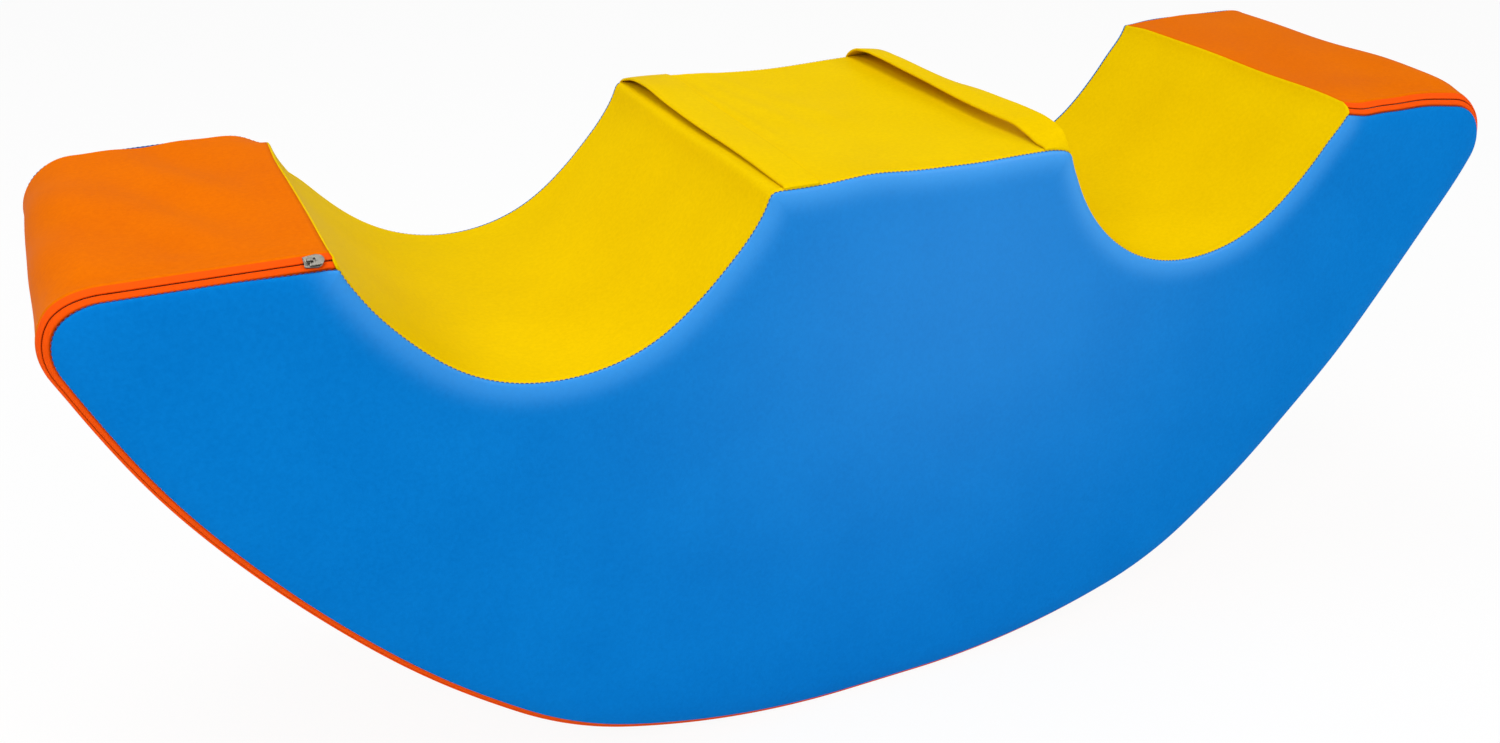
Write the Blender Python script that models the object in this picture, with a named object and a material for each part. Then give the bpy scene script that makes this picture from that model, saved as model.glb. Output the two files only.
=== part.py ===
"""Foam rocker for two riders: a block of soft foam with a curved belly and two seat hollows,
in a zipped vinyl cover of three colours with two strap handles.

Metres, +Z up, length along X, the zip side towards -Y, the floor at z = 0. Run it with
blender --background --python part.py, or from the text editor.
"""

import math

import bmesh
import bpy
from mathutils import Vector

# The whole rocker, measured over its cover
LENGTH = 1.212
HEIGHT = 0.480
WIDTH = 0.312

# The belly, from the middle outwards: a patch that the rocker's own weight presses flat, then
# two arcs. The long flank arc after them is worked out, so that it meets the end corner.
REST_LENGTH = 0.072
BELLY_RADIUS = 0.680
BELLY_TURN = math.radians(17.5)
BILGE_RADIUS = 0.300
BILGE_TURN = math.radians(20.0)
END_CORNER_RADIUS = 0.042

# The two seat hollows, round the middle block. The block's corners are soft, and the end tops
# turn down into the seats in a tight fold, where orange meets yellow.
SEAT_SPACING = 0.562
SEAT_RADIUS = 0.151
SEAT_DEPTH = 0.1165
BLOCK_CORNER_RADIUS = 0.012
FOLD_RADIUS = 0.003
LEAST_CORNER_RADIUS = 0.0015

# Cover and clearances
COVER_THICKNESS = 0.0012
GAP = 0.0003

# The soft edge of a side panel: it bulges past its seam, over this width of the panel
SIDE_CROWN = 0.004
CROWN_WIDTH = 0.022

# The front edge of the orange band rolls over the corner with the zip in it. Angles are round
# the roll, from the band's own surface towards the side panel.
ROLL_RADIUS = 0.011
HEM_ANGLE = math.radians(5.0)
ZIP_ANGLE = math.radians(39.0)
SEAM_ANGLE = math.radians(70.0)
HEM_WIDTH = 0.006
TAPE_THICKNESS = 0.0008
COIL_WIDTH = 0.0022
COIL_HEIGHT = 0.0018
RELIEF_CLEARANCE = 0.0006
RELIEF_END = 0.0028

# Zip slider, lengths along the zip, widths across it and heights away from the tape
SLIDER_LENGTH = 0.0125
SLIDER_FRONT_WIDTH = 0.0096
SLIDER_REAR_WIDTH = 0.0076
SLIDER_PLATE = 0.0012
SLIDER_PARK = 0.0044
POST_WIDTH = 0.0008
POST_LENGTH = 0.0030
POST_OFFSET = 0.0030
FLANGE_WIDTH = 0.0009
FLANGE_HEIGHT = 0.0012
BRIDGE_WIDTH = 0.0018
BRIDGE_LEG = 0.0012
BRIDGE_ROOF = 0.0010
BAR_OFFSET = -0.0024
BAR_SIZE = 0.0009
BAR_CLEARANCE = 0.00030
TAB_LENGTH = 0.0095
TAB_WIDTH = 0.0074
TAB_THICKNESS = 0.0008
EYE_LENGTH = 0.0030
EYE_WIDTH = 0.0032

# Strap handles: a flat strap across the middle block, sewn into both side seams. A strap's line
# is a few heights over the block, each with its place as a share of the way to the seam. The
# left one lies low at the front and arches at the back, the right one stands clear all along.
STRAP_WIDTH = 0.040
STRAP_THICKNESS = 0.0024
STRAP_EDGE_ROUND = 0.0008
GRIP_LENGTH = 0.190
LEFT_STRAP_X = -0.102
LEFT_STRAP_LINE = (
    (-1.0, 0.0),
    (-0.6, 0.0018),
    (0.0, 0.0036),
    (0.4, 0.0058),
    (0.72, 0.0080),
    (0.9, 0.0054),
    (1.0, 0.0),
)
RIGHT_STRAP_X = 0.114
RIGHT_STRAP_LINE = (
    (-1.0, 0.0),
    (-0.9, 0.0050),
    (-0.66, 0.0105),
    (-0.26, 0.0138),
    (0.13, 0.0150),
    (0.53, 0.0130),
    (0.82, 0.0084),
    (1.0, 0.0),
)

# Flats to each curve
BELLY_STEPS = 6
BILGE_STEPS = 5
FLANK_STEPS = 10
END_STEPS = 10
CORNER_STEPS = 5
WALL_STEPS = 4
SEAT_STEPS = 32
CROWN_STEPS = 3
TAPE_STEPS = 2
GRIP_STEPS = 16
LEG_STEPS = 8
ROUND_STEPS = 10

# Finishes: colour, roughness, metallic
FINISHES = {
    "foam": ((0.86, 0.84, 0.74), 0.95, 0.0),
    "blue_vinyl": ((0.003, 0.209, 0.631), 0.45, 0.0),
    "yellow_vinyl": ((0.888, 0.584, 0.001), 0.45, 0.0),
    "orange_vinyl": ((0.847, 0.165, 0.002), 0.45, 0.0),
    "zip_tape": ((0.830, 0.090, 0.004), 0.80, 0.0),
    "zip_coil": ((0.500, 0.040, 0.004), 0.50, 0.0),
    "nickel": ((0.55, 0.54, 0.52), 0.25, 1.0),
}

# Values that follow from the sizes above
HALF_WIDTH = WIDTH / 2
SEAT_CENTRE = (SEAT_SPACING / 2, HEIGHT - SEAT_DEPTH + SEAT_RADIUS)
CORE_DEPTH = COVER_THICKNESS + GAP
ROLL_CENTRE = (ROLL_RADIUS, SIDE_CROWN + ROLL_RADIUS * math.sin(SEAM_ANGLE))
ZIP_DROP = ROLL_RADIUS * (1 - math.cos(SEAM_ANGLE))
WALL_DROP = ZIP_DROP + RELIEF_END
CHAIN_SPACE = POST_WIDTH / 2 + GAP
COIL_TOP = TAPE_THICKNESS + GAP
COIL_BOTTOM = COIL_TOP + COIL_HEIGHT


def towards(centre, distance, angle):
    """The point that far from centre, the angle measured from straight down towards +X."""
    return (centre[0] + distance * math.sin(angle), centre[1] - distance * math.cos(angle))


def angle_to(centre, point):
    """The angle that takes towards() from centre to point."""
    return math.atan2(point[0] - centre[0], centre[1] - point[1])


def arc(centre, radius, start, end, steps):
    """Points round an arc, both ends included."""
    return [towards(centre, radius, start + (end - start) * i / steps) for i in range(steps + 1)]


def flank_arc():
    """Centre, radius and first angle of the arc that leaves the bilge and meets the end corner."""
    belly = (REST_LENGTH / 2, BELLY_RADIUS)
    bilge = towards(belly, BELLY_RADIUS - BILGE_RADIUS, BELLY_TURN)
    start = BELLY_TURN + BILGE_TURN
    first = Vector(towards(bilge, BILGE_RADIUS, start))
    corner = Vector((LENGTH / 2 - END_CORNER_RADIUS, HEIGHT - END_CORNER_RADIUS))
    inward = Vector((-math.sin(start), math.cos(start)))
    reach = first - corner
    radius = (END_CORNER_RADIUS**2 - reach.length_squared) / (
        2 * (reach.dot(inward) + END_CORNER_RADIUS)
    )
    return tuple(first + radius * inward), radius, start


def corner_centre(circle, distance, height, side):
    """The centre, at this height, of a corner arc whose centre lies that far from the circle's."""
    across = math.sqrt(distance**2 - (height - circle[1]) ** 2)
    return (circle[0] + side * across, height)


def belly_half(inset):
    """From under the middle round the right end to where its top begins, as (x, z)."""
    belly = (REST_LENGTH / 2, BELLY_RADIUS)
    bilge = towards(belly, BELLY_RADIUS - BILGE_RADIUS, BELLY_TURN)
    flank, flank_radius, flank_start = flank_arc()
    radius = max(END_CORNER_RADIUS - inset, LEAST_CORNER_RADIUS)
    corner = corner_centre(flank, flank_radius - inset - radius, HEIGHT - inset - radius, 1)
    flank_end = angle_to(flank, corner)
    points = [(0.0, inset)]
    points += arc(belly, BELLY_RADIUS - inset, 0.0, BELLY_TURN, BELLY_STEPS)
    points += arc(bilge, BILGE_RADIUS - inset, BELLY_TURN, flank_start, BILGE_STEPS)[1:]
    points += arc(flank, flank_radius - inset, flank_start, flank_end, FLANK_STEPS)[1:]
    points += arc(corner, radius, flank_end, math.pi, END_STEPS)[1:]
    return points


def seat_half(top_inset, inset, corner_radius):
    """From the right end's top through the right seat to the middle of the block's top. The
    wall under the fold has flats of its own, down past the depth of the zip."""
    distance = SEAT_RADIUS + inset
    outer = corner_centre(
        SEAT_CENTRE, distance + corner_radius, HEIGHT - top_inset - corner_radius, 1
    )
    radius = max(BLOCK_CORNER_RADIUS - inset, LEAST_CORNER_RADIUS)
    inner = corner_centre(SEAT_CENTRE, distance + radius, HEIGHT - inset - radius, -1)
    outer_touch = angle_to(SEAT_CENTRE, outer)
    inner_touch = angle_to(SEAT_CENTRE, inner)
    wall_depth = SEAT_CENTRE[1] - HEIGHT + max(WALL_DROP, top_inset + 2 * corner_radius)
    wall_end = math.acos(wall_depth / distance)
    points = arc(outer, corner_radius, math.pi, math.pi + outer_touch, CORNER_STEPS)
    points += arc(SEAT_CENTRE, distance, outer_touch, wall_end, WALL_STEPS)[1:]
    points += arc(SEAT_CENTRE, distance, wall_end, inner_touch, SEAT_STEPS)[1:]
    points += arc(inner, radius, math.pi + inner_touch, math.pi, CORNER_STEPS)[1:]
    return points + [(0.0, HEIGHT - inset)]


def seat_seam_x():
    """Where the orange end meets the yellow seat: the start of the fold."""
    return seat_half(0.0, 0.0, FOLD_RADIUS)[0][0]


def seat_edge_x(drop, inset):
    """How far out the fold and the wall under it, at this inset, lie at that drop."""
    if drop <= inset:
        return seat_seam_x()
    corner = (seat_seam_x(), HEIGHT - FOLD_RADIUS)
    reach = FOLD_RADIUS - inset
    rise = FOLD_RADIUS - drop
    touch = towards(corner, reach, math.pi + angle_to(SEAT_CENTRE, corner))
    if HEIGHT - drop > touch[1]:
        return corner[0] - math.sqrt(reach**2 - rise**2)
    below = SEAT_CENTRE[1] - (HEIGHT - drop)
    return SEAT_CENTRE[0] + math.sqrt((SEAT_RADIUS + inset) ** 2 - below**2)


def crown_section(depth):
    """Across a side's soft edge, as (inset, recess from the face), from its seam to the flat of
    the face, on the surface that lies this far under the cover's outer surface."""
    turns = [math.pi / 2 * i / CROWN_STEPS for i in range(CROWN_STEPS + 1)]
    outer = [
        Vector((CROWN_WIDTH * (1 - math.cos(turn)), SIDE_CROWN * (1 - math.sin(turn))))
        for turn in turns
    ]
    normals = [Vector((1.0, 0.0))]
    for first, second in zip(outer, outer[1:]):
        chord = (second - first).normalized()
        normals.append(Vector((-chord.y, chord.x)))
    normals.append(Vector((0.0, 1.0)))
    return [
        tuple(point + depth * (before + after) / (1 + before.dot(after)))
        for point, before, after in zip(outer, normals, normals[1:])
    ]


def roll_point(depth, angle):
    """A point of the zip roll as (inset, recess), this far under its outer surface."""
    radius = ROLL_RADIUS - depth
    return (
        ROLL_CENTRE[0] - radius * math.cos(angle),
        ROLL_CENTRE[1] - radius * math.sin(angle),
    )


def roll_recess(drop):
    """How far behind the face the roll's outer surface lies, at that drop below the band."""
    return ROLL_CENTRE[1] - math.sqrt(ROLL_RADIUS**2 - (ROLL_RADIUS - drop) ** 2)


def band_row(inset, recess, side, end_x):
    """A line along the whole orange band, from the left seat round the belly to the right."""
    right = belly_half(inset) + [(end_x, HEIGHT - inset)]
    left = [(-x, z) for x, z in reversed(right[1:])]
    y = side * (HALF_WIDTH - recess)
    return [Vector((x, y, z)) for x, z in left + right]


def ring(band, seat, side, corner_radius, fold_on_band=0):
    """A closed line round the whole profile. band and seat are the (inset, recess) of its orange
    and yellow stretches. The first few points from the fold downwards follow the band."""
    below = belly_half(band[0])
    above = seat_half(band[0], seat[0], corner_radius)
    half = [(x, z, band[1]) for x, z in below]
    half += [(x, z, band[1]) for x, z in above[:fold_on_band]]
    half += [(x, z, seat[1]) for x, z in above[fold_on_band:]]
    mirrored = [(-x, z, recess) for x, z, recess in reversed(half[1:-1])]
    return [Vector((x, side * (HALF_WIDTH - recess), z)) for x, z, recess in half + mirrored]


def plain_ring(point, side):
    """A ring on a side with no zip, where both stretches have the same inset."""
    return ring(point, point, side, max(FOLD_RADIUS - point[0], LEAST_CORNER_RADIUS))


def zip_ring(point, side):
    """A ring on the zip side, where the orange stretch lies further in by the zip's drop."""
    return ring((point[0] + ZIP_DROP, point[1]), point, side, LEAST_CORNER_RADIUS)


def crossing(first, second, third, fourth):
    """Where the line through two points crosses the line through two others."""
    along = (second[0] - first[0], second[1] - first[1])
    other = (fourth[0] - third[0], fourth[1] - third[1])
    across = along[0] * other[1] - along[1] * other[0]
    share = (
        (third[0] - first[0]) * other[1] - (third[1] - first[1]) * other[0]
    ) / across
    return (first[0] + share * along[0], first[1] + share * along[1])


def slider_bottom():
    """Depth of the slider's underside below the tape's outer surface."""
    outer_corner = ROLL_RADIUS - (ROLL_RADIUS - COIL_BOTTOM) * math.cos(
        (CHAIN_SPACE + COIL_WIDTH) / ROLL_RADIUS
    )
    return outer_corner + GAP + SLIDER_PLATE


def zip_relief():
    """The foam's cut-back corner behind the zip, as two (inset, recess) points: where it leaves
    the band, and where it meets the side, clear of the hem and of the slider's lower corner."""
    depth = slider_bottom() + RELIEF_CLEARANCE
    middle = roll_point(depth, ZIP_ANGLE)
    half = SLIDER_FRONT_WIDTH / 2 + RELIEF_CLEARANCE
    corner = (
        middle[0] + half * math.sin(ZIP_ANGLE),
        middle[1] - half * math.cos(ZIP_ANGLE),
    )
    hem = (2 * COVER_THICKNESS + GAP, ROLL_CENTRE[1] + HEM_WIDTH + RELIEF_CLEARANCE)
    inside = [(inset + ZIP_DROP, recess) for inset, recess in crown_section(CORE_DEPTH)]
    start = crossing(hem, corner, (CORE_DEPTH, 0.0), (CORE_DEPTH, 1.0))
    return start, crossing(hem, corner, inside[1], inside[2])


def new_object(name, mesh, finish, collection="foam_rocker"):
    """An object with its own material, in the named collection."""
    colour, roughness, metallic = FINISHES[finish]
    material = bpy.data.materials.new(name)
    material.use_nodes = True
    shader = material.node_tree.nodes["Principled BSDF"]
    shader.inputs["Base Color"].default_value = (*colour, 1.0)
    shader.inputs["Roughness"].default_value = roughness
    shader.inputs["Metallic"].default_value = metallic
    mesh.materials.append(material)
    made = bpy.data.objects.new(name, mesh)
    bpy.data.collections[collection].objects.link(made)
    return made


def lofted_mesh(name, lines, closed_lines):
    """Skins a row of lines with quads and closes it: over the two end lines where each line is
    a loop, or else round the section and over the lines' own ends."""
    work = bmesh.new()
    grid = [[work.verts.new(point) for point in line] for line in lines]
    count = len(lines[0])
    row_pairs = list(zip(grid, grid[1:]))
    if closed_lines:
        columns = [(i, (i + 1) % count) for i in range(count)]
        caps = [grid[0], grid[-1]]
    else:
        row_pairs.append((grid[-1], grid[0]))
        columns = [(i, i + 1) for i in range(count - 1)]
        caps = [[line[0] for line in grid], [line[-1] for line in grid]]
    for first, second in row_pairs:
        for i, j in columns:
            work.faces.new((first[i], first[j], second[j], second[i]))
    for cap in caps:
        work.faces.new(cap)
    bmesh.ops.recalc_face_normals(work, faces=work.faces)
    mesh = bpy.data.meshes.new(name)
    work.to_mesh(mesh)
    work.free()
    mesh.shade_smooth()
    mesh.set_sharp_from_angle(angle=math.radians(40))
    return mesh


def add_foam_core():
    """One foam block in the cover's shape, its edges softened and its corner cut back behind
    the zip."""
    plain = crown_section(CORE_DEPTH)
    start, end = zip_relief()
    zip_side = [start, end] + [(inset + ZIP_DROP, recess) for inset, recess in plain[2:]]
    fold = max(FOLD_RADIUS - CORE_DEPTH, LEAST_CORNER_RADIUS)
    rings = [ring(zip_side[0], plain[0], -1, fold, CORNER_STEPS + WALL_STEPS)]
    for band, seat in zip(zip_side[1:], plain[1:]):
        rings.append(ring(band, seat, -1, LEAST_CORNER_RADIUS))
    lines = rings[::-1] + [plain_ring(point, 1) for point in plain]
    new_object("foam_core", lofted_mesh("foam_core", lines, True), "foam")


def add_side_panel(name, side, ring_at):
    """A blue side: flat in the middle, crowned towards its seam, one thickness of vinyl."""
    outer = [ring_at(point, side) for point in crown_section(0.0)]
    inner = [ring_at(point, side) for point in crown_section(COVER_THICKNESS)]
    new_object(name, lofted_mesh(name, outer[::-1] + inner, True), "blue_vinyl")


def add_belly_panel():
    """The orange band: end top, end, belly, end and end top in one strip. Its front edge is
    turned under in a hem beside the zip, and its back edge is sewn to the side panel."""
    end_x = seat_seam_x() + GAP
    hem = 2 * COVER_THICKNESS
    back = [crown_section(depth)[0][1] + GAP for depth in (0.0, COVER_THICKNESS)]
    front = [
        (0.0, ROLL_CENTRE[1]),
        roll_point(0.0, HEM_ANGLE),
        roll_point(hem, HEM_ANGLE),
        (hem, ROLL_CENTRE[1] + HEM_WIDTH),
        (COVER_THICKNESS, ROLL_CENTRE[1] + HEM_WIDTH),
    ]
    rows = [band_row(inset, recess, -1, end_x) for inset, recess in front]
    rows.append(band_row(COVER_THICKNESS, back[1], 1, end_x))
    rows.append(band_row(0.0, back[0], 1, end_x))
    new_object("belly_panel", lofted_mesh("belly_panel", rows, False), "orange_vinyl")


def add_seat_panel():
    """The yellow strip through both seats and over the middle block. Its front corners are cut
    to the zip roll's curve, where the ends of the zip are sewn against them."""
    rows = []
    for inset, side in ((0.0, -1), (0.0, 1), (COVER_THICKNESS, 1), (COVER_THICKNESS, -1)):
        seam = crown_section(inset)[0][1] + GAP
        half = seat_half(inset, inset, FOLD_RADIUS - inset)
        nominal = seat_half(0.0, 0.0, FOLD_RADIUS)
        recesses = [seam] * len(half)
        if side < 0:
            for i in range(CORNER_STEPS + WALL_STEPS):
                drop = HEIGHT - nominal[i][1]
                recesses[i] = max(seam, roll_recess(drop) + GAP) if drop < ZIP_DROP else seam
        right = [(x, z, recess) for (x, z), recess in zip(half, recesses)]
        left = [(-x, z, recess) for x, z, recess in reversed(right[:-1])]
        rows.append(
            [Vector((x, side * (HALF_WIDTH - recess), z)) for x, z, recess in right + left]
        )
    new_object("seat_panel", lofted_mesh("seat_panel", rows, False), "yellow_vinyl")


def add_zip_strip(name, top, bottom, start, end, steps, finish):
    """A strip of the zip round the roll, between two depths and two angles."""
    angles = [start + (end - start) * i / steps for i in range(steps + 1)]
    section = [roll_point(top, angle) for angle in angles]
    section += [roll_point(bottom, angle) for angle in reversed(angles)]
    rows = [
        band_row(inset, recess, -1, seat_edge_x(inset, COVER_THICKNESS) + GAP)
        for inset, recess in section
    ]
    new_object(name, lofted_mesh(name, rows, False), finish)


def add_zip():
    """Two woven tapes with a coil on the inner face of each, either side of the slider's post."""
    gap = GAP / ROLL_RADIUS
    space = CHAIN_SPACE / ROLL_RADIUS
    coil = COIL_WIDTH / ROLL_RADIUS
    upper = ZIP_ANGLE - space
    lower = ZIP_ANGLE + space
    tape = (0.0, TAPE_THICKNESS)
    teeth = (COIL_TOP, COIL_BOTTOM)
    add_zip_strip("upper_zip_tape", *tape, HEM_ANGLE + gap, upper, TAPE_STEPS, "zip_tape")
    add_zip_strip("lower_zip_tape", *tape, lower, SEAM_ANGLE - gap, TAPE_STEPS, "zip_tape")
    add_zip_strip("upper_zip_coil", *teeth, upper - coil, upper, 1, "zip_coil")
    add_zip_strip("lower_zip_coil", *teeth, lower, lower + coil, 1, "zip_coil")


def plate_mesh(name, outline, low, high):
    """A flat plate of this outline between two heights, made from a filled curve."""
    curve = bpy.data.curves.new(name, "CURVE")
    curve.dimensions = "2D"
    curve.fill_mode = "BOTH"
    curve.extrude = (high - low) / 2
    spline = curve.splines.new("POLY")
    spline.points.add(len(outline) - 1)
    for point, (x, y) in zip(spline.points, outline):
        point.co = (x, y, 0.0, 1.0)
    spline.use_cyclic_u = True
    holder = bpy.data.objects.new(name, curve)
    bpy.context.scene.collection.objects.link(holder)
    bpy.context.view_layer.update()
    graph = bpy.context.evaluated_depsgraph_get()
    mesh = bpy.data.meshes.new_from_object(holder.evaluated_get(graph))
    bpy.data.objects.remove(holder)
    work = bmesh.new()
    work.from_mesh(mesh)
    bmesh.ops.remove_doubles(work, verts=work.verts, dist=1e-6)
    bmesh.ops.translate(work, verts=work.verts, vec=(0.0, 0.0, (high + low) / 2))
    bmesh.ops.recalc_face_normals(work, faces=work.faces)
    work.to_mesh(mesh)
    work.free()
    return mesh


def box_mesh(name, low, high):
    """A box between two corners."""
    work = bmesh.new()
    bmesh.ops.create_cube(work, size=1.0)
    size = Vector(high) - Vector(low)
    bmesh.ops.scale(work, verts=work.verts, vec=size)
    bmesh.ops.translate(work, verts=work.verts, vec=(Vector(high) + Vector(low)) / 2)
    mesh = bpy.data.meshes.new(name)
    work.to_mesh(mesh)
    work.free()
    return mesh


def combine(target, tool_name, mesh, operation):
    """Joins a helper shape to the target, or cuts it away, by a Boolean that stays live."""
    tool = bpy.data.objects.new(tool_name, mesh)
    bpy.data.collections["rocker_cutters"].objects.link(tool)
    tool.hide_render = True
    tool.display_type = "WIRE"
    tool.parent = target.parent
    boolean = target.modifiers.new(tool_name, "BOOLEAN")
    boolean.operation = operation
    boolean.solver = "EXACT"
    boolean.object = tool


def slider_outline(length, front_width, rear_width):
    """A slider plate from above: straight at the closed end, rounded at the shoulders."""
    round_radius = front_width / 2
    shoulder = length / 2 - round_radius
    turns = [math.pi / 2 - math.pi * i / ROUND_STEPS for i in range(ROUND_STEPS + 1)]
    outline = [
        (shoulder + round_radius * math.cos(turn), round_radius * math.sin(turn))
        for turn in turns
    ]
    return outline + [(-length / 2, -rear_width / 2), (-length / 2, rear_width / 2)]


def add_slider(frame):
    """The metal slider: two plates joined by a post between the coils, and a bridge on top."""
    front = SLIDER_FRONT_WIDTH / 2
    bottom = -slider_bottom()
    overlap = SLIDER_PLATE / 2
    outline = slider_outline(SLIDER_LENGTH, SLIDER_FRONT_WIDTH, SLIDER_REAR_WIDTH)
    top_plate = plate_mesh("zip_slider", outline, GAP, GAP + SLIDER_PLATE)
    slider = new_object("zip_slider", top_plate, "nickel")
    slider.parent = frame
    combine(
        slider,
        "slider_bottom_plate",
        plate_mesh("slider_bottom_plate", outline, bottom, bottom + SLIDER_PLATE),
        "UNION",
    )
    post_back = POST_OFFSET - POST_LENGTH / 2
    post_front = POST_OFFSET + POST_LENGTH / 2
    combine(
        slider,
        "slider_post",
        box_mesh(
            "slider_post",
            (post_back, -POST_WIDTH / 2, bottom + overlap),
            (post_front, POST_WIDTH / 2, GAP + overlap),
        ),
        "UNION",
    )
    flange_low = bottom + overlap
    flange_high = bottom + SLIDER_PLATE + FLANGE_HEIGHT
    flange_out = SLIDER_REAR_WIDTH / 2
    for name, side in (("slider_left_flange", 1), ("slider_right_flange", -1)):
        near = side * flange_out
        far = side * (flange_out - FLANGE_WIDTH)
        combine(
            slider,
            name,
            box_mesh(
                name,
                (-SLIDER_LENGTH / 2, min(near, far), flange_low),
                (SLIDER_LENGTH / 2 - front, max(near, far), flange_high),
            ),
            "UNION",
        )
    top = GAP + SLIDER_PLATE
    inside = BAR_SIZE / 2 + BAR_CLEARANCE + BAR_CLEARANCE / 2
    roof = bar_height() + inside
    outside = inside + BRIDGE_LEG
    combine(
        slider,
        "slider_bridge",
        box_mesh(
            "slider_bridge",
            (BAR_OFFSET - outside, -BRIDGE_WIDTH / 2, top - overlap),
            (BAR_OFFSET + outside, BRIDGE_WIDTH / 2, roof + BRIDGE_ROOF),
        ),
        "UNION",
    )
    combine(
        slider,
        "slider_bridge_hole",
        box_mesh(
            "slider_bridge_hole",
            (BAR_OFFSET - inside, -BRIDGE_WIDTH, top),
            (BAR_OFFSET + inside, BRIDGE_WIDTH, roof),
        ),
        "DIFFERENCE",
    )


def bar_height():
    """Height of the pull tab's bar, which lies in the bridge just over the top plate."""
    return GAP + SLIDER_PLATE + BAR_SIZE / 2 + BAR_CLEARANCE


def add_pull_tab(frame):
    """The short pull tab, lying on the slider: a bar in the bridge, an eye and a round end."""
    pivot = bpy.data.objects.new("zip_pull_pivot", None)
    bpy.data.collections["foam_rocker"].objects.link(pivot)
    pivot.parent = frame
    pivot.location = (BAR_OFFSET, 0.0, bar_height())
    half = TAB_WIDTH / 2
    centre = TAB_LENGTH - BAR_SIZE / 2 - half
    turns = [math.pi / 2 - math.pi * i / ROUND_STEPS for i in range(ROUND_STEPS + 1)]
    outline = [(centre + half * math.cos(turn), half * math.sin(turn)) for turn in turns]
    outline += [(-BAR_SIZE / 2, -half), (-BAR_SIZE / 2, half)]
    mesh = plate_mesh("zip_pull_tab", outline, -TAB_THICKNESS / 2, TAB_THICKNESS / 2)
    tab = new_object("zip_pull_tab", mesh, "nickel")
    tab.parent = pivot
    combine(
        tab,
        "pull_tab_eye",
        box_mesh(
            "pull_tab_eye",
            (BAR_SIZE / 2, -EYE_WIDTH / 2, -TAB_THICKNESS),
            (BAR_SIZE / 2 + EYE_LENGTH, EYE_WIDTH / 2, TAB_THICKNESS),
        ),
        "DIFFERENCE",
    )


def add_zip_hardware():
    """The slider and its tab, parked at the left seat seam, square to the zip roll."""
    inset, recess = roll_point(0.0, ZIP_ANGLE)
    frame = bpy.data.objects.new("zip_slider_frame", None)
    bpy.data.collections["foam_rocker"].objects.link(frame)
    frame.location = (
        -(seat_seam_x() + SLIDER_PARK + SLIDER_LENGTH / 2),
        -(HALF_WIDTH - recess),
        HEIGHT - inset,
    )
    frame.rotation_euler = (ZIP_ANGLE, 0.0, 0.0)
    add_slider(frame)
    add_pull_tab(frame)


def key_slopes(keys):
    """The slope of a smooth curve at each of its (place, height) keys."""
    slopes = []
    for i in range(len(keys)):
        before = keys[max(i - 1, 0)]
        after = keys[min(i + 1, len(keys) - 1)]
        slopes.append((after[1] - before[1]) / (after[0] - before[0]))
    return slopes


def strap_lift(y, line):
    """Height of the strap's underside over the block, on a smooth curve through its line."""
    share = min(max(y / (HALF_WIDTH - SIDE_CROWN), -1.0), 1.0)
    slopes = key_slopes(line)
    i = max(j for j in range(len(line) - 1) if line[j][0] <= share)
    span = line[i + 1][0] - line[i][0]
    t = (share - line[i][0]) / span
    height = (2 * t**3 - 3 * t**2 + 1) * line[i][1] + (3 * t**2 - 2 * t**3) * line[i + 1][1]
    bend = (t**3 - 2 * t**2 + t) * slopes[i] + (t**3 - t**2) * slopes[i + 1]
    return GAP + max(height + span * bend, 0.0)


def add_strap_stretch(name, centre_x, line, start, end, steps):
    """One stretch of a strap handle, between two places across the block."""
    half = STRAP_WIDTH / 2
    round_off = STRAP_EDGE_ROUND
    top = STRAP_THICKNESS
    section = [
        (-half, round_off),
        (-half + round_off, 0.0),
        (half - round_off, 0.0),
        (half, round_off),
        (half, top - round_off),
        (half - round_off, top),
        (-half + round_off, top),
        (-half, top - round_off),
    ]
    places = [start + (end - start) * i / steps for i in range(steps + 1)]
    rows = [
        [Vector((centre_x + x, y, HEIGHT + strap_lift(y, line) + z)) for y in places]
        for x, z in section
    ]
    new_object(name, lofted_mesh(name, rows, False), "yellow_vinyl")


def add_strap_handle(side_name, centre_x, line):
    """A strap handle: the loose grip in the middle, and a leg to the seam on either side."""
    grip = GRIP_LENGTH / 2
    seam = HALF_WIDTH - SIDE_CROWN - GAP
    leg = grip + GAP
    add_strap_stretch(f"{side_name}_handle_grip", centre_x, line, -grip, grip, GRIP_STEPS)
    add_strap_stretch(f"{side_name}_handle_front_leg", centre_x, line, -seam, -leg, LEG_STEPS)
    add_strap_stretch(f"{side_name}_handle_back_leg", centre_x, line, leg, seam, LEG_STEPS)


def build():
    """Clears the scene and makes every piece of the rocker."""
    for old in list(bpy.data.objects):
        bpy.data.objects.remove(old)
    for name in ("foam_rocker", "rocker_cutters"):
        collection = bpy.data.collections.new(name)
        bpy.context.scene.collection.children.link(collection)
    add_foam_core()
    add_side_panel("front_side_panel", -1, zip_ring)
    add_side_panel("back_side_panel", 1, plain_ring)
    add_belly_panel()
    add_seat_panel()
    add_zip()
    add_zip_hardware()
    add_strap_handle("left", LEFT_STRAP_X, LEFT_STRAP_LINE)
    add_strap_handle("right", RIGHT_STRAP_X, RIGHT_STRAP_LINE)
    bpy.context.view_layer.update()


build()
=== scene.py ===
# %% [markdown]
# # Dressing a foam rocker
#
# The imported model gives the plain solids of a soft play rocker: a foam block, its vinyl cover
# in three colours, a zip and two strap handles. This lesson dresses them. The covers get their
# crowned edges, sewn seams and folds, the zip gets its teeth, the straps get the shape that
# they lie in, and each surface gets a material built from nodes.

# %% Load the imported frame
import math

import bmesh
import bpy
import numpy as np
from mathutils import Matrix, Vector
from mathutils.geometry import delaunay_2d_cdt


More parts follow.
